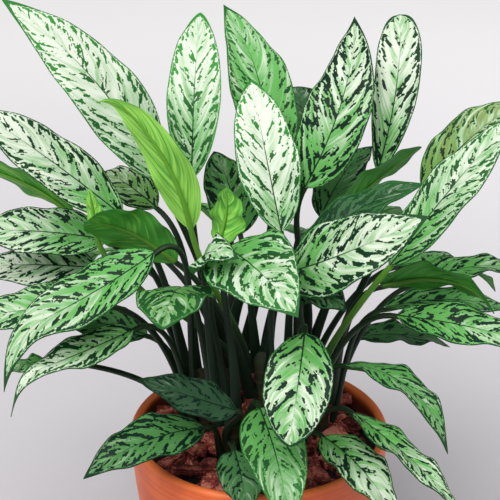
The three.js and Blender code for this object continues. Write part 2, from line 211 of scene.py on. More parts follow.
class Group(Graph):
    """A new shader node group. Its sockets are numbers, apart from the vector Place."""

    def __init__(self, name: str, inputs: str, outputs: str) -> None:
        """Makes the group and its sockets.

        Args:
            name: The group's name.
            inputs: Names of its inputs, parted by spaces.
            outputs: Names of its outputs, likewise.
        """
        super().__init__(bpy.data.node_groups.new(name, "ShaderNodeTree"))
        for way, names in (("INPUT", inputs), ("OUTPUT", outputs)):
            for socket in names.split():
                kind = "NodeSocketVector" if socket == "Place" else "NodeSocketFloat"
                self.tree.interface.new_socket(socket, in_out=way, socket_type=kind)
        start = self.tree.nodes.new("NodeGroupInput")
        self.inputs = [Value(self, socket) for socket in list(start.outputs)[:-1]]

    def close(self, *values: Value) -> Tree:
        """Feeds the group's outputs in order and returns its tree.

        Args:
            *values: What the outputs give, in order.

        Returns:
            The group's node tree.
        """
        end = self.tree.nodes.new("NodeGroupOutput")
        for socket, value in zip(end.inputs, values):
            self.feed(socket, value)
        return self.tree


class Surface(Graph):
    """The node tree of a new material."""

    def __init__(self, name: str) -> None:
        """Makes the material.

        Args:
            name: The material's name.
        """
        self.material = bpy.data.materials.new(name)
        self.material.use_nodes = True
        super().__init__(self.material.node_tree)

    def attribute(self, name: str) -> list[Value]:
        """The three numbers of a vector attribute of the mesh."""
        return self.add("Attribute", attribute_name=name)[1].split()

    def place(self, scale: Point = (1.0, 1.0, 1.0)) -> Value:
        """The object's own coordinates, stretched by a factor along each axis."""
        return self.add("Mapping", {"Vector": self.add("TexCoord")[3], "Scale": scale})[0]

    def mottle(self, size: float) -> list[Value]:
        """Soft, fine and cloudy unevenness in the object's own coordinates."""
        return self.add("Group", {"Place": self.place(), "Size": size}, node_tree=Mottle().build())


# ---- shared effects


@dataclass(frozen=True)
class Venation:
    """Where a point of a blade lies among the veins that sweep from the midrib to the margin."""

    veins: float = 7.0
    sweep: float = 0.2
    curl: float = 0.22
    offset: float = 0.5
    stray: float = 0.5
    stray_along: float = 3.0
    line: Ramp = (0.09, 0.01)

    def phase(self, along: Array, across: Array) -> Array:
        """Vein number at each point, whole on a vein, as the node group has it without the stray.

        Args:
            along: Shares of the length, 0 at the base and 1 at the tip.
            across: Shares of the half-width, from -1 to 1.

        Returns:
            The vein numbers.
        """
        out = np.abs(across)
        swept = along - self.sweep * out - self.curl * out**3
        return swept * self.veins + self.offset * (across > 0)

    @cache
    def build(self) -> Tree:
        """The group: Phase is a whole number on a vein, Vein is 1 on it, Out is 0 at the midrib.

        Returns:
            The group's node tree.
        """
        group = Group("venation", "Along Across Seed", "Phase Vein Out")
        along, across, seed = group.inputs
        out = abs(across)
        swept = along - (out * self.sweep + out**3.0 * self.curl)
        phase = swept * self.veins + across.above(0.0) * self.offset
        stray = group.noise(group.join(along * self.stray_along, across, seed))
        strayed = phase + (stray - 0.5) * self.stray
        return group.close(strayed, group.math("PINGPONG", strayed, 0.5).step(*self.line), out)


@dataclass(frozen=True)
class Variegation:
    """The dark ragged blotches that lie slanted, in chains along the veins of a blade.

    What a grain or ramp adds is held against the threshold, where bare_rib and bare_tip raise it.
    """

    slant: float = 1.1
    patches: Grain = (0.25, 0.18, 3.5)
    crowds: Grain = (0.6, 0.09, 0.9)
    crowds_seed: float = 9.0
    ragged: Grain = (0.5, 0.62, 1.6)
    band: float = 0.3
    rim: Ramp = (1.9, 0.3, 0.32)
    rim_place: float = 2.5
    outer: Ramp = (0.25, 0.85, 0.2)
    bare_rib: Ramp = (0.2, 0.03, 0.12)
    bare_tip: Ramp = (0.55, 0.95, 0.25)
    bare_inner: Ramp = (0.75, 0.3)
    threshold: float = 0.39
    blur: float = 0.05
    frays: float = 1.875
    tip_edge: Ramp = (0.84, 1.0, 2.6)
    edge_width: float = 0.85
    pale_line: float = 1.3
    edge_blur: float = 0.2

    @cache
    def build(self) -> Tree:
        """The group: Blotch is 1 on a dark blotch, and Edge is 1 on the green line of the margin.

        Returns:
            The group's node tree.
        """
        group = Group("variegation", "Along Across Out Half Length Phase Seed Cover", "Blotch Edge")
        along, across, out, half, length, phase, seed, cover = group.inputs
        run = along * length
        aside = across * half
        margin = (1.0 - out) * half
        ragged = self._noise(group, run, aside, seed, self.ragged, 2.0)
        patches = self._noise(group, run - out * half * self.slant, aside, seed, self.patches)
        crowds = self._noise(group, phase, aside, seed + self.crowds_seed, self.crowds)
        band = group.math("COSINE", (phase - 0.5) * math.tau) * self.band
        rim = abs(margin - self.rim_place).step(*self.rim)
        dark = band + patches + crowds + ragged + rim + out.step(*self.outer) + cover
        bare_tip = along.step(*self.bare_tip) * out.step(*self.bare_inner)
        bar = out.step(*self.bare_rib) + bare_tip + self.threshold
        blotch = dark.step(bar - self.blur, bar + self.blur)
        frayed = margin + ragged * self.frays - along.step(*self.tip_edge)
        edge = frayed.step(self.edge_width + self.edge_blur, self.edge_width - self.edge_blur)
        clear = frayed.step(self.pale_line - self.edge_blur, self.pale_line + self.edge_blur)
        return group.close(clear * blotch, edge)

    @staticmethod
    def _noise(group: Group, x: Value, y: Value, seed: Value, grain: Grain, detail: float = 1.0) -> Value:
        """Noise about 0 over two measures of a blade."""
        finer_x, finer_y, strength = grain
        return (group.noise(group.join(x * finer_x, y * finer_y, seed), 1.0, detail) - 0.5) * strength


@dataclass(frozen=True)
class Mottle:
    """Soft and fine unevenness of a surface, for colour and for bumps."""

    finer: float = 7.0
    detail: float = 4.0

    @cache
    def build(self) -> Tree:
        """The group: Soft and Fine are noise from 0 to 1, and Cloudy is their mean.

        Returns:
            The group's node tree.
        """
        group = Group("mottle", "Place Size", "Soft Fine Cloudy")
        place, size = group.inputs
        soft = group.noise(place, size, self.detail)
        fine = group.noise(place, size * self.finer, self.detail)
        return group.close(soft, fine, (soft + fine) * 0.5)


# ---- finishes


@dataclass(frozen=True)
class Finish:
    """What every finish has. relief is how deep its bumps are, and their strength."""

    roughness: float = 0.5
    shine: float = 0.5
    coat: float = 0.0
    relief: Pair = (0.4, 0.3)

    def build(self) -> Material:
        """The material, made by each kind of finish in its own way."""
        raise NotImplementedError

    @cache
    def material(self) -> Material:
        """The finish's material, made once."""
        return self.build()

    def dress(self, surface: Surface, colour: Value, height: Value | None = None,
              uneven: Feed = 0.0) -> Material:
        """Feeds the shader.

        Args:
            surface: The surface whose shader it is.
            colour: Its colour.
            height: How high it is raised, from 0 to 1, where it has bumps.
            uneven: How much rougher it is than the finish's roughness.

        Returns:
            The finished material.
        """
        values = {"Base Color": colour, "Roughness": uneven + self.roughness,
                  "Specular IOR Level": self.shine, "Coat Weight": self.coat}
        if height:
            depth, strength = self.relief
            bump = {"Height": height, "Strength": strength, "Distance": depth * MM}
            values["Normal"] = surface.add("Bump", bump)[0]
        shader = surface.tree.nodes["Principled BSDF"]
        for name, value in values.items():
            surface.feed(shader.inputs[name], value)
        return surface.material


class BladeSurface(Surface):
    """A blade's surface: what is stored on its mesh, and where it lies among the veins."""

    def __init__(self, name: str) -> None:
        """Reads the blade, look and tint attributes and places the venation.

        Args:
            name: The material's name.
        """
        super().__init__(name)
        self.along, self.across, self.half = self.attribute("blade")
        self.tone, self.seed, self.length = self.attribute("look")
        self.bright, self.brown, self.cover = self.attribute("tint_and_light")
        measures = {"Along": self.along, "Across": self.across, "Seed": self.seed}
        tree = Venation().build()
        self.phase, self.vein, self.out = self.add("Group", measures, node_tree=tree)

    def grain(self, finer: float, outward: float, detail: float, scale: float = 1.0) -> Value:
        """Noise that is so much finer from vein to vein, and outward along them."""
        place = self.join(self.phase * finer, self.out * outward, self.seed)
        return self.noise(place, scale, detail)


@dataclass(frozen=True)
class BladeFace(Finish):
    """The upper face of a blade: cream and green, with dark ragged blotches and a green margin.

    The blotches and the margin's green line are painted in light and shade as well as their own green:
    near-black on a leaf in shade and a lit green on a lit leaf, the more so towards its tip.
    """

    cream: Colour = (0.785, 0.86, 0.725)
    field_green: Colour = (0.128, 0.43, 0.098)
    # painted shade: the field's dark green on leaves of low tone
    shaded_field: Colour = (0.030, 0.085, 0.042)
    # the blotches' green as painted shade, near-black, and as painted light
    blotch_shaded: Colour = (0.004, 0.021, 0.012)
    blotch_lit: Colour = (0.045, 0.30, 0.045)
    tan: Colour = (0.26, 0.24, 0.08)
    shine: float = 0.15
    relief: Pair = (0.4, 0.25)
    sunk_veins: float = 0.4
    raised_streaks: float = 0.3
    wash_grain: Grain = (2.2, 1.4, 3.0)
    wash_middle: float = 0.43
    wash: float = 1.7
    streak_grain: Grain = (7.0, 1.0, 2.0)
    streaks: float = 0.3
    green_base: Ramp = (0.7, 0.0, 0.45)
    pale_veins: Ramp = (0.45, 0.55, 0.24)
    greening: Ramp = (0.05, 0.95)
    field_shading: Ramp = (0.55, 1.0)
    tanning: Ramp = (0.3, 0.6)
    # how lit the blotches and the margin's line are painted, from the leaf's lit share
    lit_vivid_power: float = 1.7
    lit_vivid: float = 1.15
    lit_vivid_tip: Ramp = (0.1, 1.0, 0.8)
    lit_vivid_out: float = 0.3
    lit_vivid_base: float = 0.15
    lit_vivid_edge: Pair = (0.9, 0.05)
    rib_width: float = 0.75
    rib_narrowing: float = 0.5
    rib_core: float = 0.6
    rib_fade: Ramp = (0.75, 0.45, 0.75)
    rib_least: float = 0.2

    def field_colour(self, surface: BladeSurface, wash: Value, streaks: Value) -> Value:
        """The colour between the blotches: cream, greener towards the base and on a leaf of low tone,
        darkest there as painted shade.

        Args:
            surface: The blade's surface.
            wash: Broad noise, from 0 to 1.
            streaks: Drawn-out noise, from 0 to 1.

        Returns:
            The colour.
        """
        # a low tone is partly a greener leaf and partly painted shade
        dull = 1.0 - surface.tone
        green = (surface.along.step(*self.green_base) + dull + (wash - self.wash_middle) * self.wash
                 + (streaks - 0.5) * self.streaks - surface.vein * streaks.step(*self.pale_veins))
        greens = surface.coated(self.field_green, (dull.step(*self.field_shading), self.shaded_field))
        return surface.coated(
            self.cream, (green.step(*self.greening), greens),
            (surface.brown * wash.step(*self.tanning), self.tan))

    def rib(self, surface: BladeSurface) -> Value:
        """The dark line of the midrib, which narrows and fades towards the tip.

        Args:
            surface: The blade's surface.

        Returns:
            The line's share of the colour.
        """
        width = self.rib_width - surface.along * self.rib_narrowing
        line = (surface.out * surface.half).step(width, width * self.rib_core)
        return line * (surface.along.step(*self.rib_fade) + self.rib_least)

    def build(self) -> Material:
        """The material, from the mesh's blade, look and tint attributes.

        Returns:
            The finished material.
        """
        surface = BladeSurface("blade_face")
        along, out = surface.along, surface.out
        blotch, edge = surface.add("Group", {
            "Along": along, "Across": surface.across, "Out": out, "Half": surface.half,
            "Length": surface.length, "Phase": surface.phase, "Seed": surface.seed,
            "Cover": surface.cover}, node_tree=Variegation().build())
        wash = surface.grain(*self.wash_grain)
        streaks = surface.grain(*self.streak_grain)
        # painted light and shade: the blotches go from a shaded near-black to a lit green
        lit_vivid = surface.bright**self.lit_vivid_power
        place = along.step(*self.lit_vivid_tip) + out * self.lit_vivid_out + self.lit_vivid_base
        lit_lively = (place * (lit_vivid * self.lit_vivid)).step(0.0, 1.0)
        marks = surface.coated(self.blotch_shaded, (lit_lively, self.blotch_lit))
        marked = surface.math("MAXIMUM", blotch, self.rib(surface))
        # the margin's green line in painted light and shade, like the blotches
        share, least = self.lit_vivid_edge
        margin = surface.coated(self.blotch_shaded, (lit_vivid * share + least, self.blotch_lit))
        colour = surface.coated(self.field_colour(surface, wash, streaks), (marked, marks), (edge, margin))
        height = streaks * self.raised_streaks - surface.vein * self.sunk_veins
        return self.dress(surface, colour, height)


@dataclass(frozen=True)
class BladeUnder(Finish):
    """The underside of a blade: plain green with paler veins, painted in light and shade by how lit the leaf
    is: near-black green where it is shaded, lime where it is lit through, the lime partly a young leaf's own
    colour.
    """

    # near-black painted shade, then green and lime as the leaf is painted more lit
    deep: Colour = (0.012, 0.060, 0.018)
    green: Colour = (0.055, 0.30, 0.032)
    lime: Colour = (0.38, 0.80, 0.125)
    tan: Colour = (0.10, 0.09, 0.03)
    shine: float = 0.3
    cloud_grain: Grain = (1.5, 1.0, 3.0, 1.2)
    streak_grain: Grain = (7.0, 1.0, 3.0)
    brightness: float = 0.8
    streaks: float = 0.7
    veins: float = 0.12
    greening: Ramp = (-0.2, 0.5)
    liming: Ramp = (0.45, 1.0)
    tanning: float = 0.6

    def build(self) -> Material:
        """The material, from the mesh's blade, look and tint attributes.

        Returns:
            The finished material.
        """
        surface = BladeSurface("blade_underside")
        cloud = surface.grain(*self.cloud_grain)
        streaks = surface.grain(*self.streak_grain)
        # painted light and shade from the leaf's lit share
        lit = (surface.bright * self.brightness + (cloud - 0.5) + (streaks - 0.5) * self.streaks
               + surface.vein * self.veins)
        colour = surface.coated(
            self.deep, (lit.step(*self.greening), self.green), (lit.step(*self.liming), self.lime),
            (surface.brown * self.tanning, self.tan))
        return self.dress(surface, colour, surface.vein)


@dataclass(frozen=True)
class StalkSkin(Finish):
    """A leaf stalk with fine lengthwise streaks, in painted light and shade: near-black green where it is
    shaded, darkest towards its foot in the crown, and paler green on the lit ones and towards the blade.
    """

    # near-black painted shade and a lit green: shaded and lit copies of the stalk's green
    dark: Colour = (0.005, 0.019, 0.008)
    bright: Colour = (0.14, 0.38, 0.035)
    roughness: float = 0.45
    shine: float = 0.25
    relief: Pair = (0.3, 0.3)
    streaks_along: float = 2.0
    streaks_scale: float = 9.0
    streaks_detail: float = 3.0
    streaks: float = 0.4
    lit_from: Ramp = (0.0, 0.5)
    lit_towards_blade: float = 0.12

    def build(self) -> Material:
        """The material, from the mesh's stalk attribute.

        Returns:
            The finished material.
        """
        surface = Surface("stalk_skin")
        along, side, shade = surface.attribute("stalk")
        place = surface.join(along * self.streaks_along, side, shade)
        streaks = surface.noise(place, self.streaks_scale, self.streaks_detail)
        # painted light and shade: darker towards the foot, paler towards the blade and on lit stalks
        lit = (shade * along.step(*self.lit_from) + (streaks - 0.5) * self.streaks
               + along * self.lit_towards_blade)
        return self.dress(surface, surface.coated(self.dark, (lit.step(0.0, 1.0), self.bright)), streaks)


@dataclass(frozen=True)
class CaneBark(Finish):
    """The skin of a short cane, mottled dark olive green and brown."""

    green: Colour = (0.026, 0.042, 0.014)
    brown: Colour = (0.048, 0.030, 0.016)
    roughness: float = 0.55
    relief: Pair = (0.8, 0.5)
    uneven: float = 0.3
    size: float = 60.0
    browning: Ramp = (0.35, 0.65)

    def build(self) -> Material:
        """The material, in the object's own coordinates.

        Returns:
            The finished material.
        """
        surface = Surface("cane_bark")
        soft, fine, cloudy = surface.mottle(self.size)
        colour = surface.coated(self.green, (soft.step(*self.browning), self.brown))
        return self.dress(surface, colour, cloudy, fine * self.uneven)


@dataclass(frozen=True)
class Terracotta(Finish):
    """Satin fired clay with faint turning lines; paler along the lip, partly wear and partly a painted
    highlight; darkened on the inside wall below the lip, partly dampness and partly painted shade.
    """

    clay: Colour = (0.86, 0.148, 0.034)
    pale: Colour = (0.93, 0.24, 0.066)
    scorched: Colour = (0.56, 0.086, 0.023)
    # the inside wall's dark colour: partly dampness, partly painted shade
    damp_and_shade: Colour = (0.060, 0.015, 0.010)
    roughness: float = 0.32
    shine: float = 0.35
    coat: float = 0.08
    relief: Pair = (0.5, 0.25)
    uneven: float = 0.22
    lines_fine: Point = (5.0, 5.0, 420.0)
    lines_rough: Pair = (3.0, 0.6)
    drags_fine: Point = (9.0, 9.0, 60.0)
    size: float = 22.0
    lines: float = 0.35
    drags: float = 0.25
    clouds: float = 0.65
    reddening: Ramp = (0.38, 0.8)
    paling: Ramp = (0.62, 0.95)
    # the top of the lip painted paler: partly wear, partly a painted highlight
    lip: Ramp = (177.0, 180.5, 0.45)
    lip_wear_highlight_stray: float = 4.0
    # where the inside wall below the lip is painted dark: partly dampness, partly painted shade
    inner: Ramp = (94.1, 92.9)
    inside_from: float = 150.0
    wet: Ramp = (182.0, 175.0, 0.9)
    damp_shade_stray: float = 6.0
    raised_lines: float = 0.8
    raised_grain: float = 0.3

    def build(self) -> Material:
        """The material, in the object's own coordinates.

        Returns:
            The finished material.
        """
        surface = Surface("terracotta")
        lines = surface.noise(surface.place(self.lines_fine), 1.0, *self.lines_rough)
        drags = surface.noise(surface.place(self.drags_fine))
        soft, fine, _ = surface.mottle(self.size)
        x, y, z = surface.place((1 / MM, 1 / MM, 1 / MM)).split()
        tone = lines * self.lines + drags * self.drags + soft * self.clouds
        # partly wear and partly a painted highlight along the top of the lip
        lip = (z + soft * self.lip_wear_highlight_stray).step(*self.lip)
        # painted shade, partly dampness: the inside wall darkens below the lip
        inside = ((x * x + y * y) ** 0.5).step(*self.inner) * z.above(self.inside_from)
        wet = inside * (z + soft * self.damp_shade_stray).step(*self.wet)
        colour = surface.coated(
            self.scorched, (tone.step(*self.reddening), self.clay), (tone.step(*self.paling), self.pale),
            (lip, self.pale), (wet, self.damp_and_shade))
        height = lines * self.raised_lines + fine * self.raised_grain
        return self.dress(surface, colour, height, tone * self.uneven)


@dataclass(frozen=True)
class DarkSoil(Finish):
    """Damp potting soil."""

    wet: Colour = (0.010, 0.006, 0.004)
    dry: Colour = (0.050, 0.026, 0.016)
    roughness: float = 0.95
    relief: Pair = (2.0, 0.9)
    size: float = 120.0
    drying: Ramp = (0.4, 0.62)

    def build(self) -> Material:
        """The material, in the object's own coordinates.

        Returns:
            The finished material.
        """
        surface = Surface("dark_soil")
        _, _, cloudy = surface.mottle(self.size)
        return self.dress(surface, surface.coated(self.wet, (cloudy.step(*self.drying), self.dry)), cloudy)


@dataclass(frozen=True)
class PineBark(Finish):
    """Rough reddish-brown bark, paler in patches that are partly wear and partly a painted highlight, with
    painted near-black shade in its cracks and over the matted layer under the chips.
    """

    # near-black painted shade for the bark's cracks and for the matted layer between the chips
    crack_shade: Colour = (0.006, 0.002, 0.002)
    dull: Colour = (0.085, 0.010, 0.009)
    red: Colour = (0.36, 0.043, 0.034)
    # pale patches on the chips: partly wear, partly a painted highlight
    wear_and_highlight: Colour = (0.86, 0.31, 0.22)
    roughness: float = 0.6
    shine: float = 0.35
    relief: Pair = (1.6, 0.9)
    uneven: float = 0.3
    size: float = 110.0
    layers_fine: float = 1.2
    layers_rough: Pair = (3.0, 0.6)
    layers: float = 0.45
    soft: float = 0.5
    fine: float = 0.35
    filling: Ramp = (0.50, 0.68)
    wear_highlight_ramp: Ramp = (0.62, 0.77)
    # chips keep their colour; the matted layer, at 0, takes the painted shade
    shaded_bed: Ramp = (0.0, 0.1)

    def build(self) -> Material:
        """The material, from the mesh's chip attribute and the object's own coordinates.

        Returns:
            The finished material.
        """
        surface = Surface("pine_bark")
        shade, seed, grain = surface.attribute("chip")
        soft, fine, _ = surface.mottle(self.size)
        layered = surface.join(grain * self.layers_fine, seed, soft)
        layers = surface.noise(layered, 1.0, *self.layers_rough)
        value = layers * self.layers + soft * self.soft + fine * self.fine
        whole = surface.coated(self.dull, (shade, self.red))
        # pale patches that are partly wear and partly a painted highlight, over the cracks' painted shade
        chip = surface.coated(
            self.crack_shade, (value.step(*self.filling), whole),
            (value.step(*self.wear_highlight_ramp) * shade, self.wear_and_highlight))
        # painted shade: the matted layer under the chips is near-black
        colour = surface.coated(self.crack_shade, (shade.step(*self.shaded_bed), chip))
        return self.dress(surface, colour, value, fine * self.uneven)


@dataclass(frozen=True)
class PaleFloor(Finish):
    """A plain matt floor, painted darker close to the middle as shade about the plant and paler further off,
    over a reach in metres from the middle.
    """

    # painted shade: the floor's colour close to the plant
    shaded_near: Colour = (0.64, 0.62, 0.655)
    far: Colour = (0.965, 0.957, 0.975)
    roughness: float = 0.8
    shine: float = 0.1
    reach: Ramp = (0.2, 2.0)

    def build(self) -> Material:
        """The material, its colour by the distance from the middle.

        Returns:
            The finished material.
        """
        surface = Surface("pale_floor")
        x, y, _ = surface.place().split()
        # painted shade: darker close to the middle, paler further off
        share = ((x * x + y * y) ** 0.5).step(*self.reach)
        return self.dress(surface, surface.coated(self.shaded_near, (share, self.far)))


# ---- modelling helpers


def deselect_all() -> None:
    """Leaves no object selected, so that the next operator acts only on its own piece."""
    if bpy.context.object and bpy.context.object.mode != "OBJECT":
        bpy.ops.object.mode_set(mode="OBJECT")
    bpy.ops.object.select_all(action="DESELECT")


def pick(*pieces: Piece) -> Piece:
    """Selects these pieces alone, the first one active, and returns it.

    Args:
        *pieces: The pieces.

    Returns:
        The first of them.
    """
    deselect_all()
    for piece in pieces:
        piece.select_set(True)
    bpy.context.view_layer.objects.active = pieces[0]
    return pieces[0]


def settle(*pieces: Piece) -> None:
    """Works the pieces' place, turn and size into their meshes."""
    pick(*pieces)
    bpy.ops.object.transform_apply(location=True, rotation=True, scale=True)


def apply_modifier(piece: Piece, kind: str, **settings: object) -> None:
    """Adds a modifier with these settings and applies it.

    Args:
        piece: The piece.
        kind: The modifier's type.
        **settings: The modifier's own properties.
    """
    pick(piece)
    modifier = piece.modifiers.new(kind.lower(), kind)
    for name, value in settings.items():
        setattr(modifier, name, value)
    bpy.ops.object.modifier_apply(modifier=modifier.name)


def lay_grid(name: str, points: Array) -> Piece:
    """A grid primitive laid over rows of points.

    Args:
        name: The piece's name.
        points: The points, shape (rows, columns, 3).

    Returns:
        The piece, whose point number is row * columns + column.
    """
    rows, columns = points.shape[:2]
    deselect_all()
    bpy.ops.mesh.primitive_grid_add(x_subdivisions=columns - 1, y_subdivisions=rows - 1, size=2)
    piece = bpy.context.object
    piece.name = name
    piece.data.vertices.foreach_set("co", (points.reshape(-1, 3) * MM).astype(np.float32).ravel())
    piece.data.update()
    return piece


def set_vectors(piece: Piece, name: str, values: Array) -> None:
    """Stores a vector for each point of a mesh."""
    attribute = piece.data.attributes.new(name, "FLOAT_VECTOR", "POINT")
    attribute.data.foreach_set("vector", values.astype(np.float32).ravel())


def mend(piece: Piece, operation: Callable, **settings: object) -> None:
    """Runs an operator on the whole skin of a piece, and turns its normals outwards.

    Args:
        piece: The piece.
        operation: The operator, which runs in edit mode.
        **settings: The operator's own settings.
    """
    pick(piece)
    bpy.ops.object.mode_set(mode="EDIT")
    bpy.ops.mesh.select_all(action="SELECT")
    operation(**settings)
    bpy.ops.mesh.select_all(action="SELECT")
    bpy.ops.mesh.normals_make_consistent(inside=False)
    bpy.ops.object.mode_set(mode="OBJECT")


def turned_body(name: str, profile: Rings, sides: int) -> Piece:
    """A body turned about the vertical, made by extruding and scaling one ring after another.

    Args:
        name: The piece's name.
        profile: Radius and height of each ring, from one end of the skin to the other.
        sides: Points in a ring.

    Returns:
        The piece, with its two end rings filled.
    """
    deselect_all()
    radius, height = profile[0]
    bpy.ops.mesh.primitive_circle_add(vertices=sides, radius=radius * MM, location=(0, 0, height * MM))
    bpy.ops.object.transform_apply(location=True, rotation=True, scale=True)
    piece = bpy.context.object
    piece.name = name
    bpy.ops.object.mode_set(mode="EDIT")
    bpy.ops.mesh.select_all(action="SELECT")
    for (radius, height), (wider, higher) in pairwise(profile):
        rise = (0, 0, (higher - height) * MM)
        bpy.ops.mesh.extrude_region_move(TRANSFORM_OT_translate={"value": rise})
        share = wider / radius
        bpy.ops.transform.resize(value=(share, share, 1), center_override=(0, 0, higher * MM))
    mend(piece, bpy.ops.mesh.fill_holes, sides=0)
    return piece


def roughen(piece: Piece, depth: float, size: float, lowest: float) -> None:
    """Pushes the points above a height in and out by clouds of a size.

    Args:
        piece: The piece.
        depth: How far a point may move, in mm.
        size: The size of the clouds, in mm.
        lowest: The height above which points move, in mm.
    """
    group = piece.vertex_groups.new(name="rough")
    group.add([v.index for v in piece.data.vertices if v.co.z > lowest * MM], 1.0, "REPLACE")
    clouds = bpy.data.textures.new("clouds", "CLOUDS")
    clouds.noise_scale = size * MM
    clouds.noise_depth = 3
    apply_modifier(piece, "DISPLACE", texture=clouds, strength=2 * depth * MM, mid_level=0.5,
                   vertex_group="rough", texture_coords="LOCAL")


def joined(name: str, pieces: list[Piece]) -> Piece:
    """Joins pieces into one and names it.

    Args:
        name: The whole's name.
        pieces: The pieces.

    Returns:
        The whole.
    """
    piece = pick(*pieces)
    bpy.ops.object.join()
    piece.name = name
    return piece


def paint(piece: Piece, *finishes: Finish) -> None:
    """Gives a bare piece its finishes."""
    for finish in finishes:
        piece.data.materials.append(finish.material())


def finish_piece(piece: Piece, slot: Slot, node: str, sharp: float, *finishes: Finish) -> None:
    """Paints a piece, shades it smooth apart from its sharp edges, and ties it to the frame.

    Args:
        piece: The piece.
        slot: Its slot; not used.
        node: The CAD node it stands for.
        sharp: Degrees from which an edge is sharp.
        *finishes: Its finishes, where it isn't painted yet.
    """
    paint(piece, *finishes)
    pick(piece)
    bpy.ops.object.shade_smooth_by_angle(angle=math.radians(sharp))
    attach(piece, "root")
    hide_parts(node)
    LOG.info("%s: %d faces", piece.name, len(piece.data.polygons))


def unit(vectors: Array) -> Array:
    """The vectors at length one."""
    return vectors / np.linalg.norm(vectors, axis=-1, keepdims=True)


def turned(vectors: Array, axes: Array, degrees: float | Array) -> Array:
    """Vectors at right angles to their axes, turned about them."""
    angle = np.radians(degrees)
    return vectors * np.cos(angle) + np.cross(axes, vectors) * np.sin(angle)


def square_to(vectors: Array, axes: Array) -> Array:
    """Vectors with their share along the axes taken out, at length one."""
    return unit(vectors - np.sum(vectors * axes, axis=-1, keepdims=True) * axes)


def bezier(points: Array, t: Array) -> Array:
    """The curve that control points bend, at shares t of its run."""
    last = len(points) - 1
    return sum(math.comb(last, i) * t**i * (1 - t) ** (last - i) * points[i] for i in range(last + 1))


def spread(middle: Array, side: Array, normal: Array, x: Array, y: Array) -> Array:
    """Rows of points: each row's middle, with x along its side and y along its normal."""
    return middle[:, None] + side[:, None] * x[..., None] + normal[:, None] * y[..., None]


# ---- pot, soil, bark, canes


@dataclass
class Pot:
    """The terracotta pot: plain, drawn in towards its base, with a rounded lip."""

    height: float = 180.0
    rim_radius: float = 100.0
    base_radius: float = 73.0
    wall: float = 7.0
    floor: float = 10.0
    taper: float = 1.7
    foot: tuple[Pair, ...] = ((-3.0, 0.0), (-1.0, 0.6), (0.0, 2.2))
    first_ring: float = 4.0
    steps: int = 22
    lip_steps: int = 12
    sides: int = 128
    sharp: float = 40.0

    def radius(self, height: float) -> float:
        """Outer radius at a height."""
        share = min(height / self.height, 1.0)
        return self.base_radius + (self.rim_radius - self.base_radius) * (1 - (1 - share) ** self.taper)

    def inner(self, height: float) -> float:
        """Inner radius at a height."""
        return self.radius(height) - self.wall

    def profile(self) -> Rings:
        """The skin from the middle of the base, up the outside, over the lip and down the inside.

        Returns:
            Radius and height of each ring.
        """
        lip = self.wall / 2
        rise = self.height - lip - self.first_ring
        heights = [self.first_ring + rise * i / self.steps for i in range(self.steps)]
        foot = [(self.base_radius + out, z) for out, z in self.foot]
        outside = [(self.radius(z), z) for z in heights]
        turns = [math.pi * i / self.lip_steps for i in range(self.lip_steps + 1)]
        centre = self.rim_radius - lip
        rim = [(centre + lip * math.cos(a), self.height - lip + lip * math.sin(a)) for a in turns]
        inside = [(self.inner(z), z) for z in reversed(heights[2:])]
        floor = [(self.base_radius - self.wall, self.floor), (HUB, self.floor)]
        return [(HUB, 0.0), *foot, *outside, *rim, *inside, *floor]

    def build(self) -> None:
        """Makes the pot and dresses it."""
        piece = turned_body("terracotta_pot", self.profile(), self.sides)
        finish_piece(piece, Slot.TERRACOTTA, "pot", self.sharp, Terracotta())


@dataclass
class Soil:
    """The potting soil under the bark."""

    pot: Pot
    mound: float = 3.0
    gap: float = 0.3
    edge_gap: float = 0.5
    levels: Point = (0.2, 0.5, 0.8)
    rings: int = 16
    sides: int = 96
    roughness: float = 1.2
    lumps: float = 9.0
    rough_from: float = -4.0
    sharp: float = 60.0

    def surface(self, radius: float) -> float:
        """Height of the soil at a distance from the middle."""
        return SOIL_TOP + self.mound * (1 - (radius / self.pot.rim_radius) ** 2)

    def dome(self, edge: float, rings: int, rise: float = 0.0) -> Rings:
        """Rings from an edge to the middle, a rise above the soil's mounded surface."""
        radii = [edge * i / rings for i in range(rings, 0, -1)]
        return [*((radius, self.surface(radius) + rise) for radius in radii), (HUB, self.surface(0) + rise)]

    def build(self) -> None:
        """Makes the soil, its surface roughened, and dresses it."""
        bottom = self.pot.floor + self.gap
        levels = [bottom + (SOIL_TOP - bottom) * share for share in self.levels]
        foot = self.pot.base_radius - self.pot.wall - self.gap
        side = [(self.pot.inner(z) - self.gap, z) for z in levels]
        top = self.dome(self.pot.inner(SOIL_TOP) - self.gap - self.edge_gap, self.rings)
        piece = turned_body("potting_soil", [(HUB, bottom), (foot, bottom), *side, *top], self.sides)
        roughen(piece, self.roughness, self.lumps, SOIL_TOP + self.rough_from)
        finish_piece(piece, Slot.SOIL, "soil", self.sharp, DarkSoil())


@dataclass(frozen=True)
class ChipKind:
    """How many pieces of bark there are of one kind, and the least and most of their size and lift."""

    count: int
    size: Pair
    lift: Pair


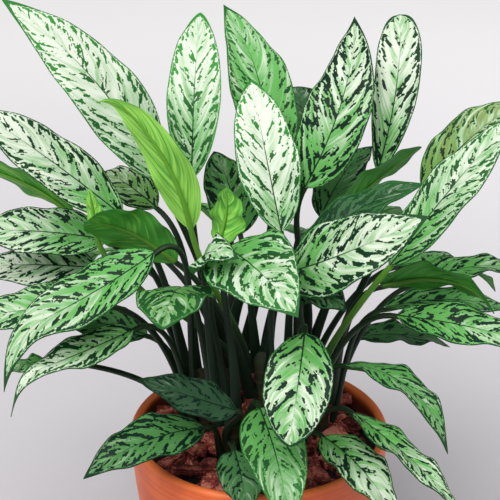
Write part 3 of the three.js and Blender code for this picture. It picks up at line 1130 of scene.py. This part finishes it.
@dataclass
class BarkMulch:
    """Rough chips and crumbs of bark, heaped over a matted layer.

    length, breadth, thickness and corners are pairs: a least measure, and how much it may be more.
    """

    pot: Pot
    soil: Soil
    layer: float = 4.0
    shapes: int = 7
    kinds: tuple[ChipKind, ...] = (
        ChipKind(120, (0.65, 1.25), (0.0, 5.5)), ChipKind(210, (0.2, 0.42), (0.0, 2.5)))
    clearance: float = 11.0
    seed: int = 11
    golden_angle: float = 2.39996
    stray: float = 0.3
    inset: float = 9.0
    length: Pair = (19, 8)
    breadth: Pair = (0.5, 0.3)
    thickness: Pair = (9, 5)
    corners: tuple[Pair, ...] = ((0.55, 0.45), (0.55, 0.45), (0.5, 0.5))
    bevel: float = 1.6
    break_size: float = 8.0
    break_depth: float = 2.6
    kept_faces: float = 0.55
    tilts: Pair = (0.6, 0.55)
    shades: Pair = (0.1, 1.0)
    bed_inset: float = 1.0
    bed_under: float = 0.3
    bed_rings: int = 20
    bed_sides: int = 96
    bed_roughness: float = 1.4
    bed_lumps: float = 6.0
    bed_rough_from: float = 1.0
    sharp: float = 32.0

    def __post_init__(self) -> None:
        """Starts the random draws."""
        self.draw = random.Random(self.seed)

    def more(self, pair: Pair) -> float:
        """The least measure of a pair and a random share of what it may be more."""
        least, extra = pair
        return least + extra * self.draw.random()

    def chip_shape(self, number: int) -> Piece:
        """One chip about the origin: a block that is subdivided, broken and worn.

        Args:
            number: The shape's number, which names its texture.

        Returns:
            The chip.
        """
        deselect_all()
        bpy.ops.mesh.primitive_cube_add(size=1)
        chip = bpy.context.object
        length = self.more(self.length)
        breadth = length * self.more(self.breadth)
        chip.scale = (length * MM, breadth * MM, self.more(self.thickness) * MM)
        settle(chip)
        for vertex in chip.data.vertices:
            for axis, pair in enumerate(self.corners):
                vertex.co[axis] *= self.more(pair)
        cells = bpy.data.textures.new(f"broken_{number}", "VORONOI")
        cells.noise_scale = self.break_size * MM
        apply_modifier(chip, "BEVEL", width=self.bevel * MM, segments=1)
        apply_modifier(chip, "SUBSURF", subdivision_type="SIMPLE", levels=2, render_levels=2)
        apply_modifier(chip, "DISPLACE", texture=cells, strength=self.break_depth * MM, mid_level=0.5,
                       texture_coords="LOCAL")
        apply_modifier(chip, "DECIMATE", ratio=self.kept_faces)
        return chip

    def spot(self, i: int, count: int) -> Pair:
        """Where a chip's middle goes: an even spiral with a little stray.

        Args:
            i: The chip's number among its kind.
            count: How many spots the kind has.

        Returns:
            Where it goes from side to side and in depth, in mm.
        """
        radius = (self.pot.inner(SOIL_TOP) - self.inset) * math.sqrt((i + 0.5) / count)
        angle = i * self.golden_angle + self.stray * self.draw.random()
        return radius * math.cos(angle), radius * math.sin(angle)

    def bed(self) -> Piece:
        """The matted layer that the chips lie on.

        Returns:
            The layer.
        """
        edge = self.pot.inner(SOIL_TOP) - self.bed_inset
        under = self.soil.dome(edge, 1, self.bed_under)[::-1]
        over = self.soil.dome(edge, self.bed_rings, self.layer)
        bed = turned_body("bed", under + over, self.bed_sides)
        roughen(bed, self.bed_roughness, self.bed_lumps, SOIL_TOP + self.bed_rough_from)
        # 0 paints the matted layer near-black: painted shade between the chips
        self.mark(bed, 0.0, 0)
        return bed

    @staticmethod
    def mark(piece: Piece, shade: float, seed: int) -> None:
        """Stores a chip's tone and share of wear and painted highlight, 0 on the matted layer to paint it in
        shade, its seed, and how deep each point lies in its layers.

        Args:
            piece: The chip, or the layer.
            shade: Its tone and share of wear and painted highlight; 0 paints the matted layer in shade.
            seed: Its seed.
        """
        places = np.zeros(3 * len(piece.data.vertices))
        piece.data.vertices.foreach_get("co", places)
        values = places.reshape(-1, 3) / MM
        values[:, :2] = shade, seed
        set_vectors(piece, "chip", values)

    def scatter(self, shapes: list[Piece]) -> list[Piece]:
        """Copies of the shapes, strewn over the bed clear of the canes.

        Args:
            shapes: The chips that are copied.

        Returns:
            The copies.
        """
        chips = []
        spots = [(kind, i) for kind in self.kinds for i in range(kind.count)]
        for number, (kind, i) in enumerate(spots):
            x, y = self.spot(i, kind.count)
            size = self.draw.uniform(*kind.size)
            tilts = [self.draw.uniform(-tilt, tilt) for tilt in self.tilts]
            turn = self.draw.uniform(0, math.tau)
            lift = self.draw.uniform(*kind.lift)
            if any(math.hypot(x - s.value[0], y - s.value[1]) < self.clearance for s in Stem):
                continue
            chip = shapes[number % self.shapes].copy()
            chip.data = chip.data.copy()
            bpy.context.collection.objects.link(chip)
            self.mark(chip, self.draw.uniform(*self.shades), number)
            height = self.soil.surface(math.hypot(x, y)) + self.layer + lift
            chip.location = (x * MM, y * MM, height * MM)
            chip.rotation_euler = (*tilts, turn)
            chip.scale = (size, size, size)
            chips.append(chip)
        return chips

    def build(self) -> None:
        """Makes the mulch as one piece and dresses it."""
        shapes = [self.chip_shape(number) for number in range(self.shapes)]
        bed = self.bed()
        chips = self.scatter(shapes)
        settle(*chips)
        for shape in shapes:
            bpy.data.objects.remove(shape)
        piece = joined("bark_chips", [bed, *chips])
        finish_piece(piece, Slot.BARK, "bark_mulch", self.sharp, PineBark())


@dataclass
class Canes:
    """The short canes that the leaves grow from.

    A ring of the foot, of a leaf scar or of the top is a share of the radius and a rise.
    """

    depth: float = 40.0
    hub: float = 1.0
    sides: int = 24
    foot: tuple[Pair, ...] = ((0.8, 0.0), (0.97, 8.0))
    scar: tuple[Pair, ...] = ((0.97, 0.0), (1.0, 1.2), (0.90, 2.0), (0.94, 3.4))
    top: tuple[Pair, ...] = ((0.95, -5.0), (0.6, 0.0))
    crown: float = 0.4
    first_scar: float = 16.0
    scar_every: float = 9.0
    last_scar: float = 8.0
    sharp: float = 50.0

    def profile(self, height: float) -> Rings:
        """The skin of one cane, with a shallow groove and a lip at each leaf scar.

        Args:
            height: How high the cane stands above the soil, in mm.

        Returns:
            Radius and height of each ring.
        """
        foot = SOIL_TOP - self.depth
        top = SOIL_TOP + height
        places = [(self.foot, foot)]
        level = foot + self.first_scar
        while level < top - self.last_scar:
            places.append((self.scar, level))
            level += self.scar_every
        places.append((self.top, top))
        rings = [(CANE_RADIUS * share, start + rise) for shape, start in places for share, rise in shape]
        return [(self.hub, foot), *rings, (self.hub, top + self.crown)]

    def build(self) -> None:
        """Makes every cane and dresses it."""
        for number, stem in enumerate(Stem, start=1):
            x, y, height = stem.value
            piece = turned_body(f"ringed_cane_{number}", self.profile(height), self.sides)
            piece.location = (x * MM, y * MM, 0)
            settle(piece)
            finish_piece(piece, Slot.CANE, f"cane_{number}", self.sharp, CaneBark())


# ---- leaves


@dataclass(frozen=True)
class Leaf:
    """One leaf: where its blade lies, how it is bent and how it is coloured.

    stem and rise say where its stalk leaves a cane, and swing how far round the cane that is from the
    way to the blade, in degrees. base and tip are the blade's two ends. bow is how high the midrib
    arches, crest how far along it is highest and sway how far it bends sideways, as shares of the
    length. nod is how far its last third curls down. roll turns the blade about its midrib, twist is
    how much more of that there is at the tip than at the base, and fold is how steeply its halves
    rise, all in degrees. wave is the height of its margin's waves, and taper how drawn-out its tip is.
    tone is how pale the face is, partly painted shade where it is low. The lit share is how lit its greens
    are, painted light and shade as well as their own vividness. brown is how tanned it is, cover how much of
    it is blotched, and stalk how lit the stalk is, which is painted light and shade.
    """

    stem: Stem
    rise: float
    swing: float
    base: Point
    tip: Point
    width: float
    bow: float = 0.1
    crest: float = 0.5
    sway: float = 0.0
    nod: float = 0.03
    roll: float = 0.0
    twist: float = 0.0
    fold: float = 14.0
    wave: float = 2.2
    taper: float = 1.0
    # how pale the face is; a low tone is partly painted shade
    tone: float = 0.5
    # how lit the greens are painted: painted light and shade, partly their own vividness
    bright: float = 0.5
    brown: float = 0.0
    cover: float = 0.0
    stalk: float = 0.04


# each leaf's tone, lit share and stalk value paint light and shade as well as its own colours
LEAVES = [
    # upper left
    Leaf(Stem.BACK_LEFT, 54, 35, (-72, 5, 382), (-180, 25, 508), 50, bow=0.06, sway=0.05, nod=0,
         roll=-45, tone=0.94, bright=0.8, cover=-0.04),
    Leaf(Stem.BACK_LEFT, 68, -5, (-50, 25, 375), (-45, 110, 478), 40, nod=0, taper=0.75, tone=0.84,
         bright=0.95),
    Leaf(Stem.BACK_LEFT, 58, 0, (10, 50, 370), (-28, 150, 475), 50, sway=0.03, nod=0, twist=14,
         tone=0.41, bright=0.6),
    Leaf(Stem.MIDDLE, 74, 60, (16, 5, 341), (-6, 80, 434), 48, bow=0.06, sway=-0.02, nod=0, taper=0.8,
         tone=1.0, bright=0.85, cover=-0.05),
    Leaf(Stem.BACK_RIGHT, 68, 0, (34, 35, 364), (73, 110, 475), 52, sway=0.11, nod=0, twist=-12,
         taper=1.1, tone=0.62, bright=0.2, cover=0.15),
    Leaf(Stem.BACK_RIGHT, 44, -25, (90, 54, 370), (108, 114, 481), 35, sway=0.06, nod=0.04, taper=0.45,
         tone=0.76, bright=0.35, cover=0.05),
    # upper right
    Leaf(Stem.RIGHT, 58, 15, (122, 32, 363), (195, 50, 428), 42, roll=30, twist=-20, taper=0.75,
         tone=0.45, brown=0.6),
    Leaf(Stem.FRONT_RIGHT, 48, 15, (92, -35, 332), (182, 15, 427), 40, sway=0.05, nod=0, roll=15,
         taper=0.9, tone=0.73, bright=0.6, stalk=0.8),
    Leaf(Stem.MIDDLE, 52, -40, (28, -12, 326), (122, 14, 378), 36, roll=15, tone=0.1, cover=0.3),
    Leaf(Stem.FRONT_RIGHT, 42, 0, (19, -38, 328), (108, -90, 392), 52, sway=0.07, nod=0, roll=55,
         taper=0.9, tone=0.7, bright=0.35, cover=0.12),
    Leaf(Stem.BACK_RIGHT, 54, -40, (47, 24, 338), (122, 46, 395), 40, bow=0.01, roll=-50, taper=0.8,
         bright=0.45),
    # right
    Leaf(Stem.RIGHT, 44, -25, (88, -18, 308), (165, -62, 312), 36, bow=0.16, nod=0.06, roll=-50,
         bright=0.4),
    Leaf(Stem.FRONT_RIGHT, 30, 10, (97, -52, 301), (195, -75, 288), 34, bow=0.05, roll=25, tone=0.44,
         bright=0.3, cover=0.08),
    Leaf(Stem.RIGHT, 38, 0, (115, 14, 294), (212, 35, 294), 38, tone=0.36, bright=0.25, cover=0.12),
    Leaf(Stem.RIGHT, 26, -10, (93, -10, 286), (200, -10, 278), 38, tone=0.28, bright=0.25, cover=0.12),
    Leaf(Stem.BACK_RIGHT, 14, -10, (75, 26, 243), (155, 50, 223), 38, bow=0.06, tone=0.15, bright=0.2),
    # front right
    Leaf(Stem.FRONT_RIGHT, 26, 0, (61, -65, 269), (127, -138, 250), 34, bow=0.15, nod=0.1, roll=-10,
         tone=0.28, bright=0.3, cover=0.05),
    Leaf(Stem.FRONT_RIGHT, 12, -12, (66, -85, 241), (131, -168, 218), 32, bow=0.03, nod=0.04, roll=-15,
         tone=0.56, bright=0.25, cover=0.05),
    Leaf(Stem.FRONT_RIGHT, 16, -32, (45, -85, 222), (92, -150, 196), 38, tone=0.67, bright=0.3),
    Leaf(Stem.FRONT_RIGHT, 36, -26, (30, -85, 304), (18, -150, 257), 46, sway=-0.02, taper=0.62,
         tone=0.54, bright=0.25, cover=0.02),
    # front left
    Leaf(Stem.FRONT_LEFT, 16, 20, (0, -85, 245), (20, -165, 203), 44, tone=0.31, bright=0.6),
    Leaf(Stem.FRONT_LEFT, 12, -10, (-18, -82, 208), (-9, -124, 188), 34, taper=0.8, tone=0.15, bright=0.15),
    Leaf(Stem.FRONT_LEFT, 14, -30, (-41, -65, 217), (-123, -115, 209), 41, roll=-15, tone=0.22,
         bright=0.1, cover=0.08),
    Leaf(Stem.FRONT_LEFT, 30, -35, (-17, -68, 233), (-84, -92, 272), 32, bow=0, nod=0, roll=-35,
         tone=0.05, bright=0.0),
    # left
    Leaf(Stem.LEFT, 44, 5, (-74, -45, 346), (-193, -85, 292), 46, bow=-0.05, nod=0.27, roll=-25,
         taper=1.1, tone=0.6, bright=0.4, cover=0.05),
    Leaf(Stem.LEFT, 22, 5, (-91, -45, 286), (-182, -101, 272), 32, bow=-0.02, nod=0.26, roll=-15,
         taper=1.6, tone=0.77, cover=0.05),
    Leaf(Stem.LEFT, 12, -25, (-85, 0, 258), (-150, 10, 262), 34, roll=-20, tone=0.2, bright=0.2),
    Leaf(Stem.LEFT, 54, -10, (-113, 15, 330), (-225, 30, 330), 42, bow=0.06, roll=-35, tone=0.66,
         bright=0.25, cover=0.05),
    Leaf(Stem.LEFT, 38, -25, (-125, 30, 300), (-230, 60, 285), 38, bow=0.05, roll=-35, tone=0.85,
         bright=0.3, cover=0.05),
    Leaf(Stem.LEFT, 32, 0, (-117, -15, 290), (-220, -20, 280), 40, bow=0.05, roll=-30, tone=0.55,
         bright=0.4, cover=0.05),
    Leaf(Stem.LEFT, 60, 20, (-99, -4, 357), (-208, 6, 439), 42, bow=0.04, nod=0.02, roll=-40, taper=0.9,
         tone=0.83, bright=0.4),
    Leaf(Stem.BACK_LEFT, 36, -30, (-140, 45, 337), (-240, 60, 374), 38, roll=50, bright=0.7),
    Leaf(Stem.MIDDLE, 66, -20, (-49, -20, 354), (-119, -30, 471), 29, bow=0, sway=-0.1, nod=0.16,
         roll=80, taper=1.5, bright=1.0, stalk=0.9),
    Leaf(Stem.MIDDLE, 46, 15, (-60, -20, 328), (-121, -52, 373), 40, bow=0.12, roll=60, taper=0.7,
         bright=0.55),
    Leaf(Stem.FRONT_LEFT, 52, -20, (-29, -24, 343), (-23, -14, 383), 34, nod=0, roll=165, taper=0.8,
         tone=0.4, bright=0.8),
    Leaf(Stem.FRONT_LEFT, 46, 25, (-23, -48, 351), (24, -135, 344), 60, bow=0.1, roll=25, twist=10,
         wave=3, tone=0.58, bright=0.6, cover=0.12),
    Leaf(Stem.FRONT_LEFT, 36, -50, (-52, -50, 322), (-63, -126, 330), 52, bow=0.12, roll=5, fold=4,
         wave=3.2, taper=0.8, tone=0.3, bright=0.5, brown=0.1, cover=0.32),
    # inner
    Leaf(Stem.LEFT, 58, -10, (-78, 44, 344), (-124, 85, 359), 30, roll=-30, tone=0.6, brown=0.3,
         bright=0.1),
    Leaf(Stem.BACK_RIGHT, 54, 0, (48, 64, 328), (92, 118, 370), 38, tone=0.2, bright=0.1),
    Leaf(Stem.FRONT_RIGHT, 52, 40, (32, -48, 318), (58, -86, 322), 28, roll=20, tone=0.15, bright=0.1),
    # rear
    Leaf(Stem.BACK_RIGHT, 24, -10, (110, 60, 288), (203, 120, 240), 44),
    Leaf(Stem.BACK_RIGHT, 32, 15, (75, 110, 310), (130, 215, 255), 48, tone=0.5),
    Leaf(Stem.BACK_RIGHT, 22, 15, (35, 130, 285), (55, 240, 215), 48, tone=0.4),
    Leaf(Stem.BACK_LEFT, 34, 0, (-25, 130, 300), (-40, 245, 250), 50, tone=0.5),
    Leaf(Stem.BACK_LEFT, 16, -30, (-90, 105, 280), (-165, 190, 220), 48, tone=0.45),
    # small ones, and two behind the others
    Leaf(Stem.LEFT, 14, 20, (-160, 0, 235), (-194, -10, 229), 20, taper=0.9, tone=0.35),
    Leaf(Stem.BACK_LEFT, 60, 40, (37, 112, 356), (33, 160, 407), 42, taper=0.6, tone=0.1, bright=0.1),
    Leaf(Stem.MIDDLE, 44, -22, (-115, -25, 353), (-119, -24, 386), 15, bow=0.02, nod=0, roll=70,
         wave=0.8, bright=1.0, stalk=0.6),
    Leaf(Stem.FRONT_LEFT, 52, -20, (-40, -58, 341), (-14, -99, 366), 30, bow=0.2, roll=35, nod=0,
         tone=0.6, bright=0.4),
    Leaf(Stem.MIDDLE, 60, 0, (-14, 44, 322), (-36, 100, 372), 44, tone=0.25, bright=0.1),
]


@dataclass
class LeafBuilder:
    """Models a leaf: a waved and veined blade on a stalk that runs on under it as the midrib.

    Waves, ripples, the quilting between veins and the groove over the midrib are heights. A rise is
    the power with which one grows towards the margin, and full_half is the half-width from which the
    finer ones are whole. even_rows and lane_ease say how evenly the rows and columns are spaced.
    """

    venation: Venation = Venation()

    # the blade
    rows: int = 72
    columns: int = 25
    even_rows: float = 0.75
    lane_ease: float = 0.95
    thickness: float = 0.6
    tip_half: float = 0.05
    base_fullness: float = 0.62
    nod_start: float = 0.65
    nod_back: float = 0.4
    waves: float = 2.6
    wave_offset: float = 2.1
    wave_step: float = 1.7
    wave_lead: float = 0.02
    wave_rise: float = 1.5
    ripples: float = 2.3
    ripple_offset: float = 2.1
    ripple_rise: float = 4.0
    ripple: float = 0.5
    droop: float = 0.16
    quilt: float = 0.3
    groove: float = 0.9
    groove_width: float = 1.3
    groove_fade: float = 0.7
    full_half: float = 14.0
    seed_step: float = 3.7

    # the stalk and the midrib
    cane_sides: int = 8
    fit_gap: float = 0.3
    stalk_root: float = 3.2
    stalk_top: float = 2.1
    stalk_taper: float = 0.7
    stalk_rows: int = 22
    stalk_columns: int = 13
    leave_up: float = 0.42
    leave_away: float = 0.1
    arrive: float = 0.3
    sheath: float = 0.75
    sheath_end: float = 0.5
    sheath_taper: float = 1.2
    sink: float = 0.8
    sink_from: float = 0.85
    channel: float = 0.35
    rib_rows: int = 18
    rib_reach: Pair = (0.02, 0.93)
    rib_taper: float = 0.9
    rib_share: float = 0.95
    rib_least: float = 0.12
    rib_sink: float = 0.7
    # how lit the midrib under the blade is painted, against the leaf's lit share
    rib_lit: float = 0.9
    weld: float = 0.01
    sharp: float = 60.0

    def midrib(self, leaf: Leaf) -> tuple[Array, Array, Array]:
        """The midrib's three bending points, the way its tip falls, and the blade's level direction.

        Args:
            leaf: The leaf.

        Returns:
            Those three in that order, in mm where they are lengths.
        """
        base, tip = np.array(leaf.base, float), np.array(leaf.tip, float)
        length = np.linalg.norm(tip - base)
        chord = (tip - base) / length
        above = square_to(UP, chord)
        level = np.cross(chord, above)
        crown = (base + chord * length * leaf.crest
                 + turned(above, chord, leaf.roll) * 2 * leaf.bow * length
                 + turned(level, chord, leaf.roll) * 2 * leaf.sway * length)
        fall = -leaf.nod * length * (UP + self.nod_back * unit((tip - base) * LEVEL))
        return np.array([base, crown, tip]), fall, level

    def frames(self, leaf: Leaf, along: Array) -> Arrays:
        """Middle, way, side and normal of the blade at shares of its length.

        Args:
            leaf: The leaf.
            along: Shares of the blade's length.

        Returns:
            Four arrays of vectors, one vector a share.
        """
        bends, fall, level = self.midrib(leaf)
        t = along[:, None]
        nodding = np.clip((t - self.nod_start) / (1 - self.nod_start), 0, None)
        middle = bezier(bends, t) + fall * nodding**2
        way = unit(bezier(np.diff(bends, axis=0), t) + fall * nodding / (1 - self.nod_start))
        level = square_to(np.broadcast_to(level, way.shape), way)
        side = turned(level, way, leaf.roll + leaf.twist * (t - 0.5))
        return middle, way, side, np.cross(side, way)

    def half_width(self, leaf: Leaf, along: Array) -> Array:
        """Half the blade's width: a rounded base and a drawn-out tip.

        Args:
            leaf: The leaf.
            along: Shares of the blade's length.

        Returns:
            The half-width at each share, in mm.
        """
        rise, fall = self.base_fullness, leaf.taper
        widest = rise / (rise + fall)
        peak = widest**rise * (1 - widest) ** fall
        outline = along**rise * (1 - along) ** fall / peak
        least = self.stalk_top + (self.tip_half - self.stalk_top) * along
        return np.maximum(leaf.width / 2 * outline, least)

    def lift(self, leaf: Leaf, number: int, along: Array, across: Array, half: Array) -> Array:
        """How far points stand off the midrib's plane: fold, droop, waves, quilting and groove.

        Args:
            leaf: The leaf.
            number: Its place in the list, which shifts its waves.
            along: Each point's share of the blade's length.
            across: Its share of the half-width, negative on the left.
            half: The blade's half-width there.

        Returns:
            The height of each point.
        """
        out = np.abs(across)
        phase = self.wave_step * number + np.where(across < 0, 0, self.wave_offset)
        turns = math.tau * self.waves * along
        swell = np.sin(np.pi * np.minimum(along + self.wave_lead, 1))
        wave = leaf.wave * out**self.wave_rise * np.sin(turns + phase) * swell
        ripple = self.ripple * np.sin(self.ripples * turns + self.ripple_offset * phase)
        folded = half * out * math.tan(math.radians(leaf.fold)) - self.droop * half * out**2
        veins = np.abs(np.sin(np.pi * self.venation.phase(along, across)))
        puffed = self.quilt * (np.sqrt(veins) - 1) * np.sin(np.pi * np.clip(out, 0, 1)) ** 0.5
        trough = np.exp(-((out * half / self.groove_width) ** 2)) * (1 - along) ** self.groove_fade
        size = np.clip(half / self.full_half, 0, 1)
        return folded + wave + (ripple * out**self.ripple_rise + puffed - self.groove * trough) * size

    def blade(self, leaf: Leaf, number: int) -> Piece:
        """The blade as a sheet of its real thickness, with what its finish needs stored on it.

        Args:
            leaf: The leaf.
            number: The leaf's place in the list.

        Returns:
            The blade.
        """
        share = np.linspace(0, 1, self.rows)
        along = self.even_rows * share + (1 - self.even_rows) / 2 * (1 - np.cos(np.pi * share))
        lane = np.linspace(-1, 1, self.columns)
        across = np.sign(lane) * np.abs(lane) ** self.lane_ease
        middle, _, side, normal = self.frames(leaf, along)
        u, v = np.meshgrid(along, across, indexing="ij")
        half = np.broadcast_to(self.half_width(leaf, along)[:, None], u.shape)
        lift = self.lift(leaf, number, u, v, half)
        blade = lay_grid("blade", spread(middle, side, normal, v * half, lift))
        length = np.linalg.norm(np.array(leaf.tip) - np.array(leaf.base))
        set_vectors(blade, "blade", np.stack([u, v, half], axis=-1))
        set_vectors(blade, "look", np.tile([leaf.tone, self.seed_step * number, length], (u.size, 1)))
        set_vectors(blade, "tint_and_light", np.tile([leaf.bright, leaf.brown, leaf.cover], (u.size, 1)))
        paint(blade, BladeFace(), BladeUnder())
        apply_modifier(blade, "SOLIDIFY", thickness=self.thickness * MM, offset=-1, material_offset=1)
        return blade

    def cane_side(self, direction: Array) -> float:
        """Distance from a cane's axis to its faceted side in a direction.

        Args:
            direction: A level direction.

        Returns:
            The distance, in mm.
        """
        step = math.tau / self.cane_sides
        angle = math.atan2(direction[1], direction[0]) - math.pi / 2
        return CANE_RADIUS * math.cos(step / 2) / math.cos(angle % step - step / 2)

    def root(self, leaf: Leaf) -> tuple[Array, Array]:
        """Where the stalk leaves its cane, and the way it faces there.

        Args:
            leaf: The leaf.

        Returns:
            The place, in mm, and the direction.
        """
        x, y, _ = leaf.stem.value
        axis = np.array([x, y, SOIL_TOP + leaf.rise], float)
        away = turned(unit((np.array(leaf.base) - axis) * LEVEL), UP, leaf.swing)
        return axis + away * (self.cane_side(away) + self.fit_gap + self.stalk_root), away

    def stalk_path(self, leaf: Leaf) -> tuple[Array, Array, Array]:
        """Middle, side and normal along the stalk, from the cane to the blade.

        Args:
            leaf: The leaf.

        Returns:
            Three arrays of vectors, one vector a row.
        """
        _, way, side, _ = self.frames(leaf, np.zeros(1))
        start, away = self.root(leaf)
        end = np.array(leaf.base, float)
        reach = np.linalg.norm(end - start)
        leave = start + UP * reach * self.leave_up + away * reach * self.leave_away
        arrive = end - way[0] * reach * self.arrive
        t = np.linspace(0, 1, self.stalk_rows)[:, None]
        bends = np.array([start, leave, arrive, end])
        ways = unit(bezier(np.diff(bends, axis=0), t))
        sides = np.zeros_like(ways)
        sides[-1] = side[0]
        for row in range(self.stalk_rows - 2, -1, -1):
            sides[row] = square_to(sides[row + 1], ways[row])
        return bezier(bends, t), sides, np.cross(sides, ways)

    def stalk_rings(self, leaf: Leaf) -> Arrays:
        """Middle, side, normal, half-width and half-depth of the stalk's rings, sheathed at its foot.

        Args:
            leaf: The leaf.

        Returns:
            Those five, each with one row or number a ring.
        """
        middle, side, normal = self.stalk_path(leaf)
        share = np.linspace(0, 1, self.stalk_rows)
        radius = self.stalk_root + (self.stalk_top - self.stalk_root) * share**self.stalk_taper
        sheath = 1 + self.sheath * np.clip(1 - share / self.sheath_end, 0, 1) ** self.sheath_taper
        sunk = np.clip((share - self.sink_from) / (1 - self.sink_from), 0, 1) ** 2 * radius * self.sink
        return middle - normal * sunk[:, None], side, normal, radius * sheath, radius

    def rib_rings(self, leaf: Leaf) -> Arrays:
        """The same five measures of the midrib's rings, which hang under the blade.

        Args:
            leaf: The leaf.

        Returns:
            Those five, each with one row or number a ring.
        """
        along = np.linspace(*self.rib_reach, self.rib_rows)
        middle, _, side, normal = self.frames(leaf, along)
        radius = self.stalk_top * (1 - along) ** self.rib_taper * self.rib_share + self.rib_least
        lift = self.lift(leaf, 0, along, np.zeros_like(along), self.half_width(leaf, along))
        drop = radius * self.rib_sink + self.thickness / 2 - lift
        return middle - normal * drop[:, None], side, normal, radius, radius

    def stalk(self, leaf: Leaf) -> Piece:
        """The stalk and the midrib as one closed skin, channelled above.

        Args:
            leaf: The leaf.

        Returns:
            The skin.
        """
        parts = zip(self.stalk_rings(leaf), self.rib_rings(leaf))
        middle, side, normal, wide, deep = (np.concatenate(part) for part in parts)
        angle = np.linspace(0, math.tau, self.stalk_columns)
        channel = 1 - self.channel * np.clip(np.sin(angle), 0, 1) ** 2
        x = np.cos(angle) * wide[:, None]
        y = np.sin(angle) * channel * deep[:, None]
        rings = spread(middle, side, normal, x, y)
        first, last = (np.broadcast_to(end, rings[:1].shape) for end in (middle[0], middle[-1]))
        stalk = lay_grid("stalk", np.concatenate([first, rings, last])[:, ::-1])
        run, turn = np.meshgrid(np.linspace(0, 1, len(rings) + 2), np.cos(angle), indexing="ij")
        # painted light and shade on the stalk, and on the midrib under the blade as lit as the leaf's greens
        shade = np.full_like(run, leaf.stalk)
        shade[self.stalk_rows + 1:] = max(leaf.stalk, self.rib_lit * leaf.bright)
        set_vectors(stalk, "stalk", np.stack([run, turn, shade], axis=-1))
        paint(stalk, StalkSkin())
        mend(stalk, bpy.ops.mesh.remove_doubles, threshold=self.weld * MM)
        return stalk

    def build(self, leaf: Leaf, number: int) -> None:
        """Makes one leaf and dresses it.

        Args:
            leaf: The leaf.
            number: Its place in the list, from 0.
        """
        piece = joined(f"variegated_leaf_{number + 1:02d}", [self.blade(leaf, number), self.stalk(leaf)])
        finish_piece(piece, Slot.LEAF, f"leaf_{number + 1:02d}", self.sharp)


# ---- studio


@dataclass(frozen=True)
class SoftLight:
    """A square soft light: where it hangs, what it faces, its width and its power."""

    name: str
    place: Point
    aim: Point
    size: float
    power: float


@dataclass
class Studio:
    """The pale floor, the soft lights and the camera. Its lengths are metres."""

    floor_size: float = 80.0
    camera_place: Point = (-0.007, -0.8375, 0.7009)
    camera_tilt: float = 66.0
    lens: float = 90.0
    sun_way: Point = (-0.38, -0.85, 1.3)
    sun_strength: float = 2.8
    sun_angle: float = 55.0
    sun_colour: Colour = (1.0, 0.985, 0.96)
    soft_lights: tuple[SoftLight, ...] = (
        SoftLight("soft_box", (-0.7, -0.6, 1.5), (0.0, 0.0, 0.3), 0.7, 3.0),
        SoftLight("fill", (1.1, 0.3, 1.4), (0.4, 0.15, 0.0), 1.2, 9.0))
    soft_colour: Colour = (0.97, 0.98, 1.0)
    sky: Colour = (0.90, 0.92, 0.97)
    sky_strength: float = 0.12
    backdrop: Colour = (0.775, 0.761, 0.768)

    @staticmethod
    def put(data: bpy.types.ID, place: Point, turn: Point) -> Piece:
        """Puts a lamp or a camera at a place, turned by three angles.

        Args:
            data: The lamp or camera.
            place: Where it goes, in metres.
            turn: Its three angles, in radians.

        Returns:
            The object that holds it.
        """
        item = bpy.data.objects.new(data.name, data)
        bpy.context.collection.objects.link(item)
        item.location, item.rotation_euler = place, turn
        return item

    def hang(self, data: bpy.types.Light, place: Point, aim: Point) -> None:
        """Puts a lamp at a place, facing a point."""
        x, y, z = np.array(aim) - np.array(place)
        self.put(data, place, (math.acos(-z / math.hypot(x, y, z)), 0, math.atan2(y, x) - math.pi / 2))

    def light(self) -> None:
        """The main light, up on the left and in front, and the soft ones."""
        sun = bpy.data.lights.new("main_light", "SUN")
        sun.energy, sun.angle, sun.color = self.sun_strength, math.radians(self.sun_angle), self.sun_colour
        self.hang(sun, self.sun_way, (0.0, 0.0, 0.0))
        for light in self.soft_lights:
            data = bpy.data.lights.new(light.name, "AREA")
            data.size, data.energy, data.color = light.size, light.power, self.soft_colour
            self.hang(data, light.place, light.aim)

    def world(self) -> None:
        """A dim sky that lights the plant, seen by the camera as a pale backdrop."""
        world = bpy.data.worlds.new("sky")
        world.use_nodes = True
        graph = Graph(world.node_tree)
        sky, seen = (graph.add("Background", {"Color": colour, "Strength": strength})[0]
                     for colour, strength in ((self.sky, self.sky_strength), (self.backdrop, 1.0)))
        either = graph.add("MixShader", {0: graph.add("LightPath")[0], 1: sky, 2: seen})[0]
        graph.feed(world.node_tree.nodes["World Output"].inputs["Surface"], either)
        bpy.context.scene.world = world

    def camera(self) -> None:
        """The camera, in front of the plant and above it."""
        data = bpy.data.cameras.new("camera")
        data.lens = self.lens
        turn = (math.radians(self.camera_tilt), 0, 0)
        bpy.context.scene.camera = self.put(data, self.camera_place, turn)

    def build(self) -> None:
        """Makes the floor, the lights, the sky and the camera."""
        deselect_all()
        bpy.ops.mesh.primitive_plane_add(size=self.floor_size)
        floor = bpy.context.object
        floor.name = "studio_floor"
        paint(floor, PaleFloor())
        self.light()
        self.world()
        self.camera()
        bpy.context.scene.view_settings.view_transform = "Standard"


# ---- the plant


def main() -> None:
    """Builds the studio and then the plant, piece by piece."""
    logging.basicConfig(level=logging.INFO, format="%(name)s: %(message)s")
    Studio().build()
    pot = Pot()
    pot.build()
    soil = Soil(pot)
    soil.build()
    BarkMulch(pot, soil).build()
    Canes().build()
    builder = LeafBuilder()
    for number, leaf in enumerate(LEAVES):
        builder.build(leaf, number)


if __name__ == "__main__":
    main()
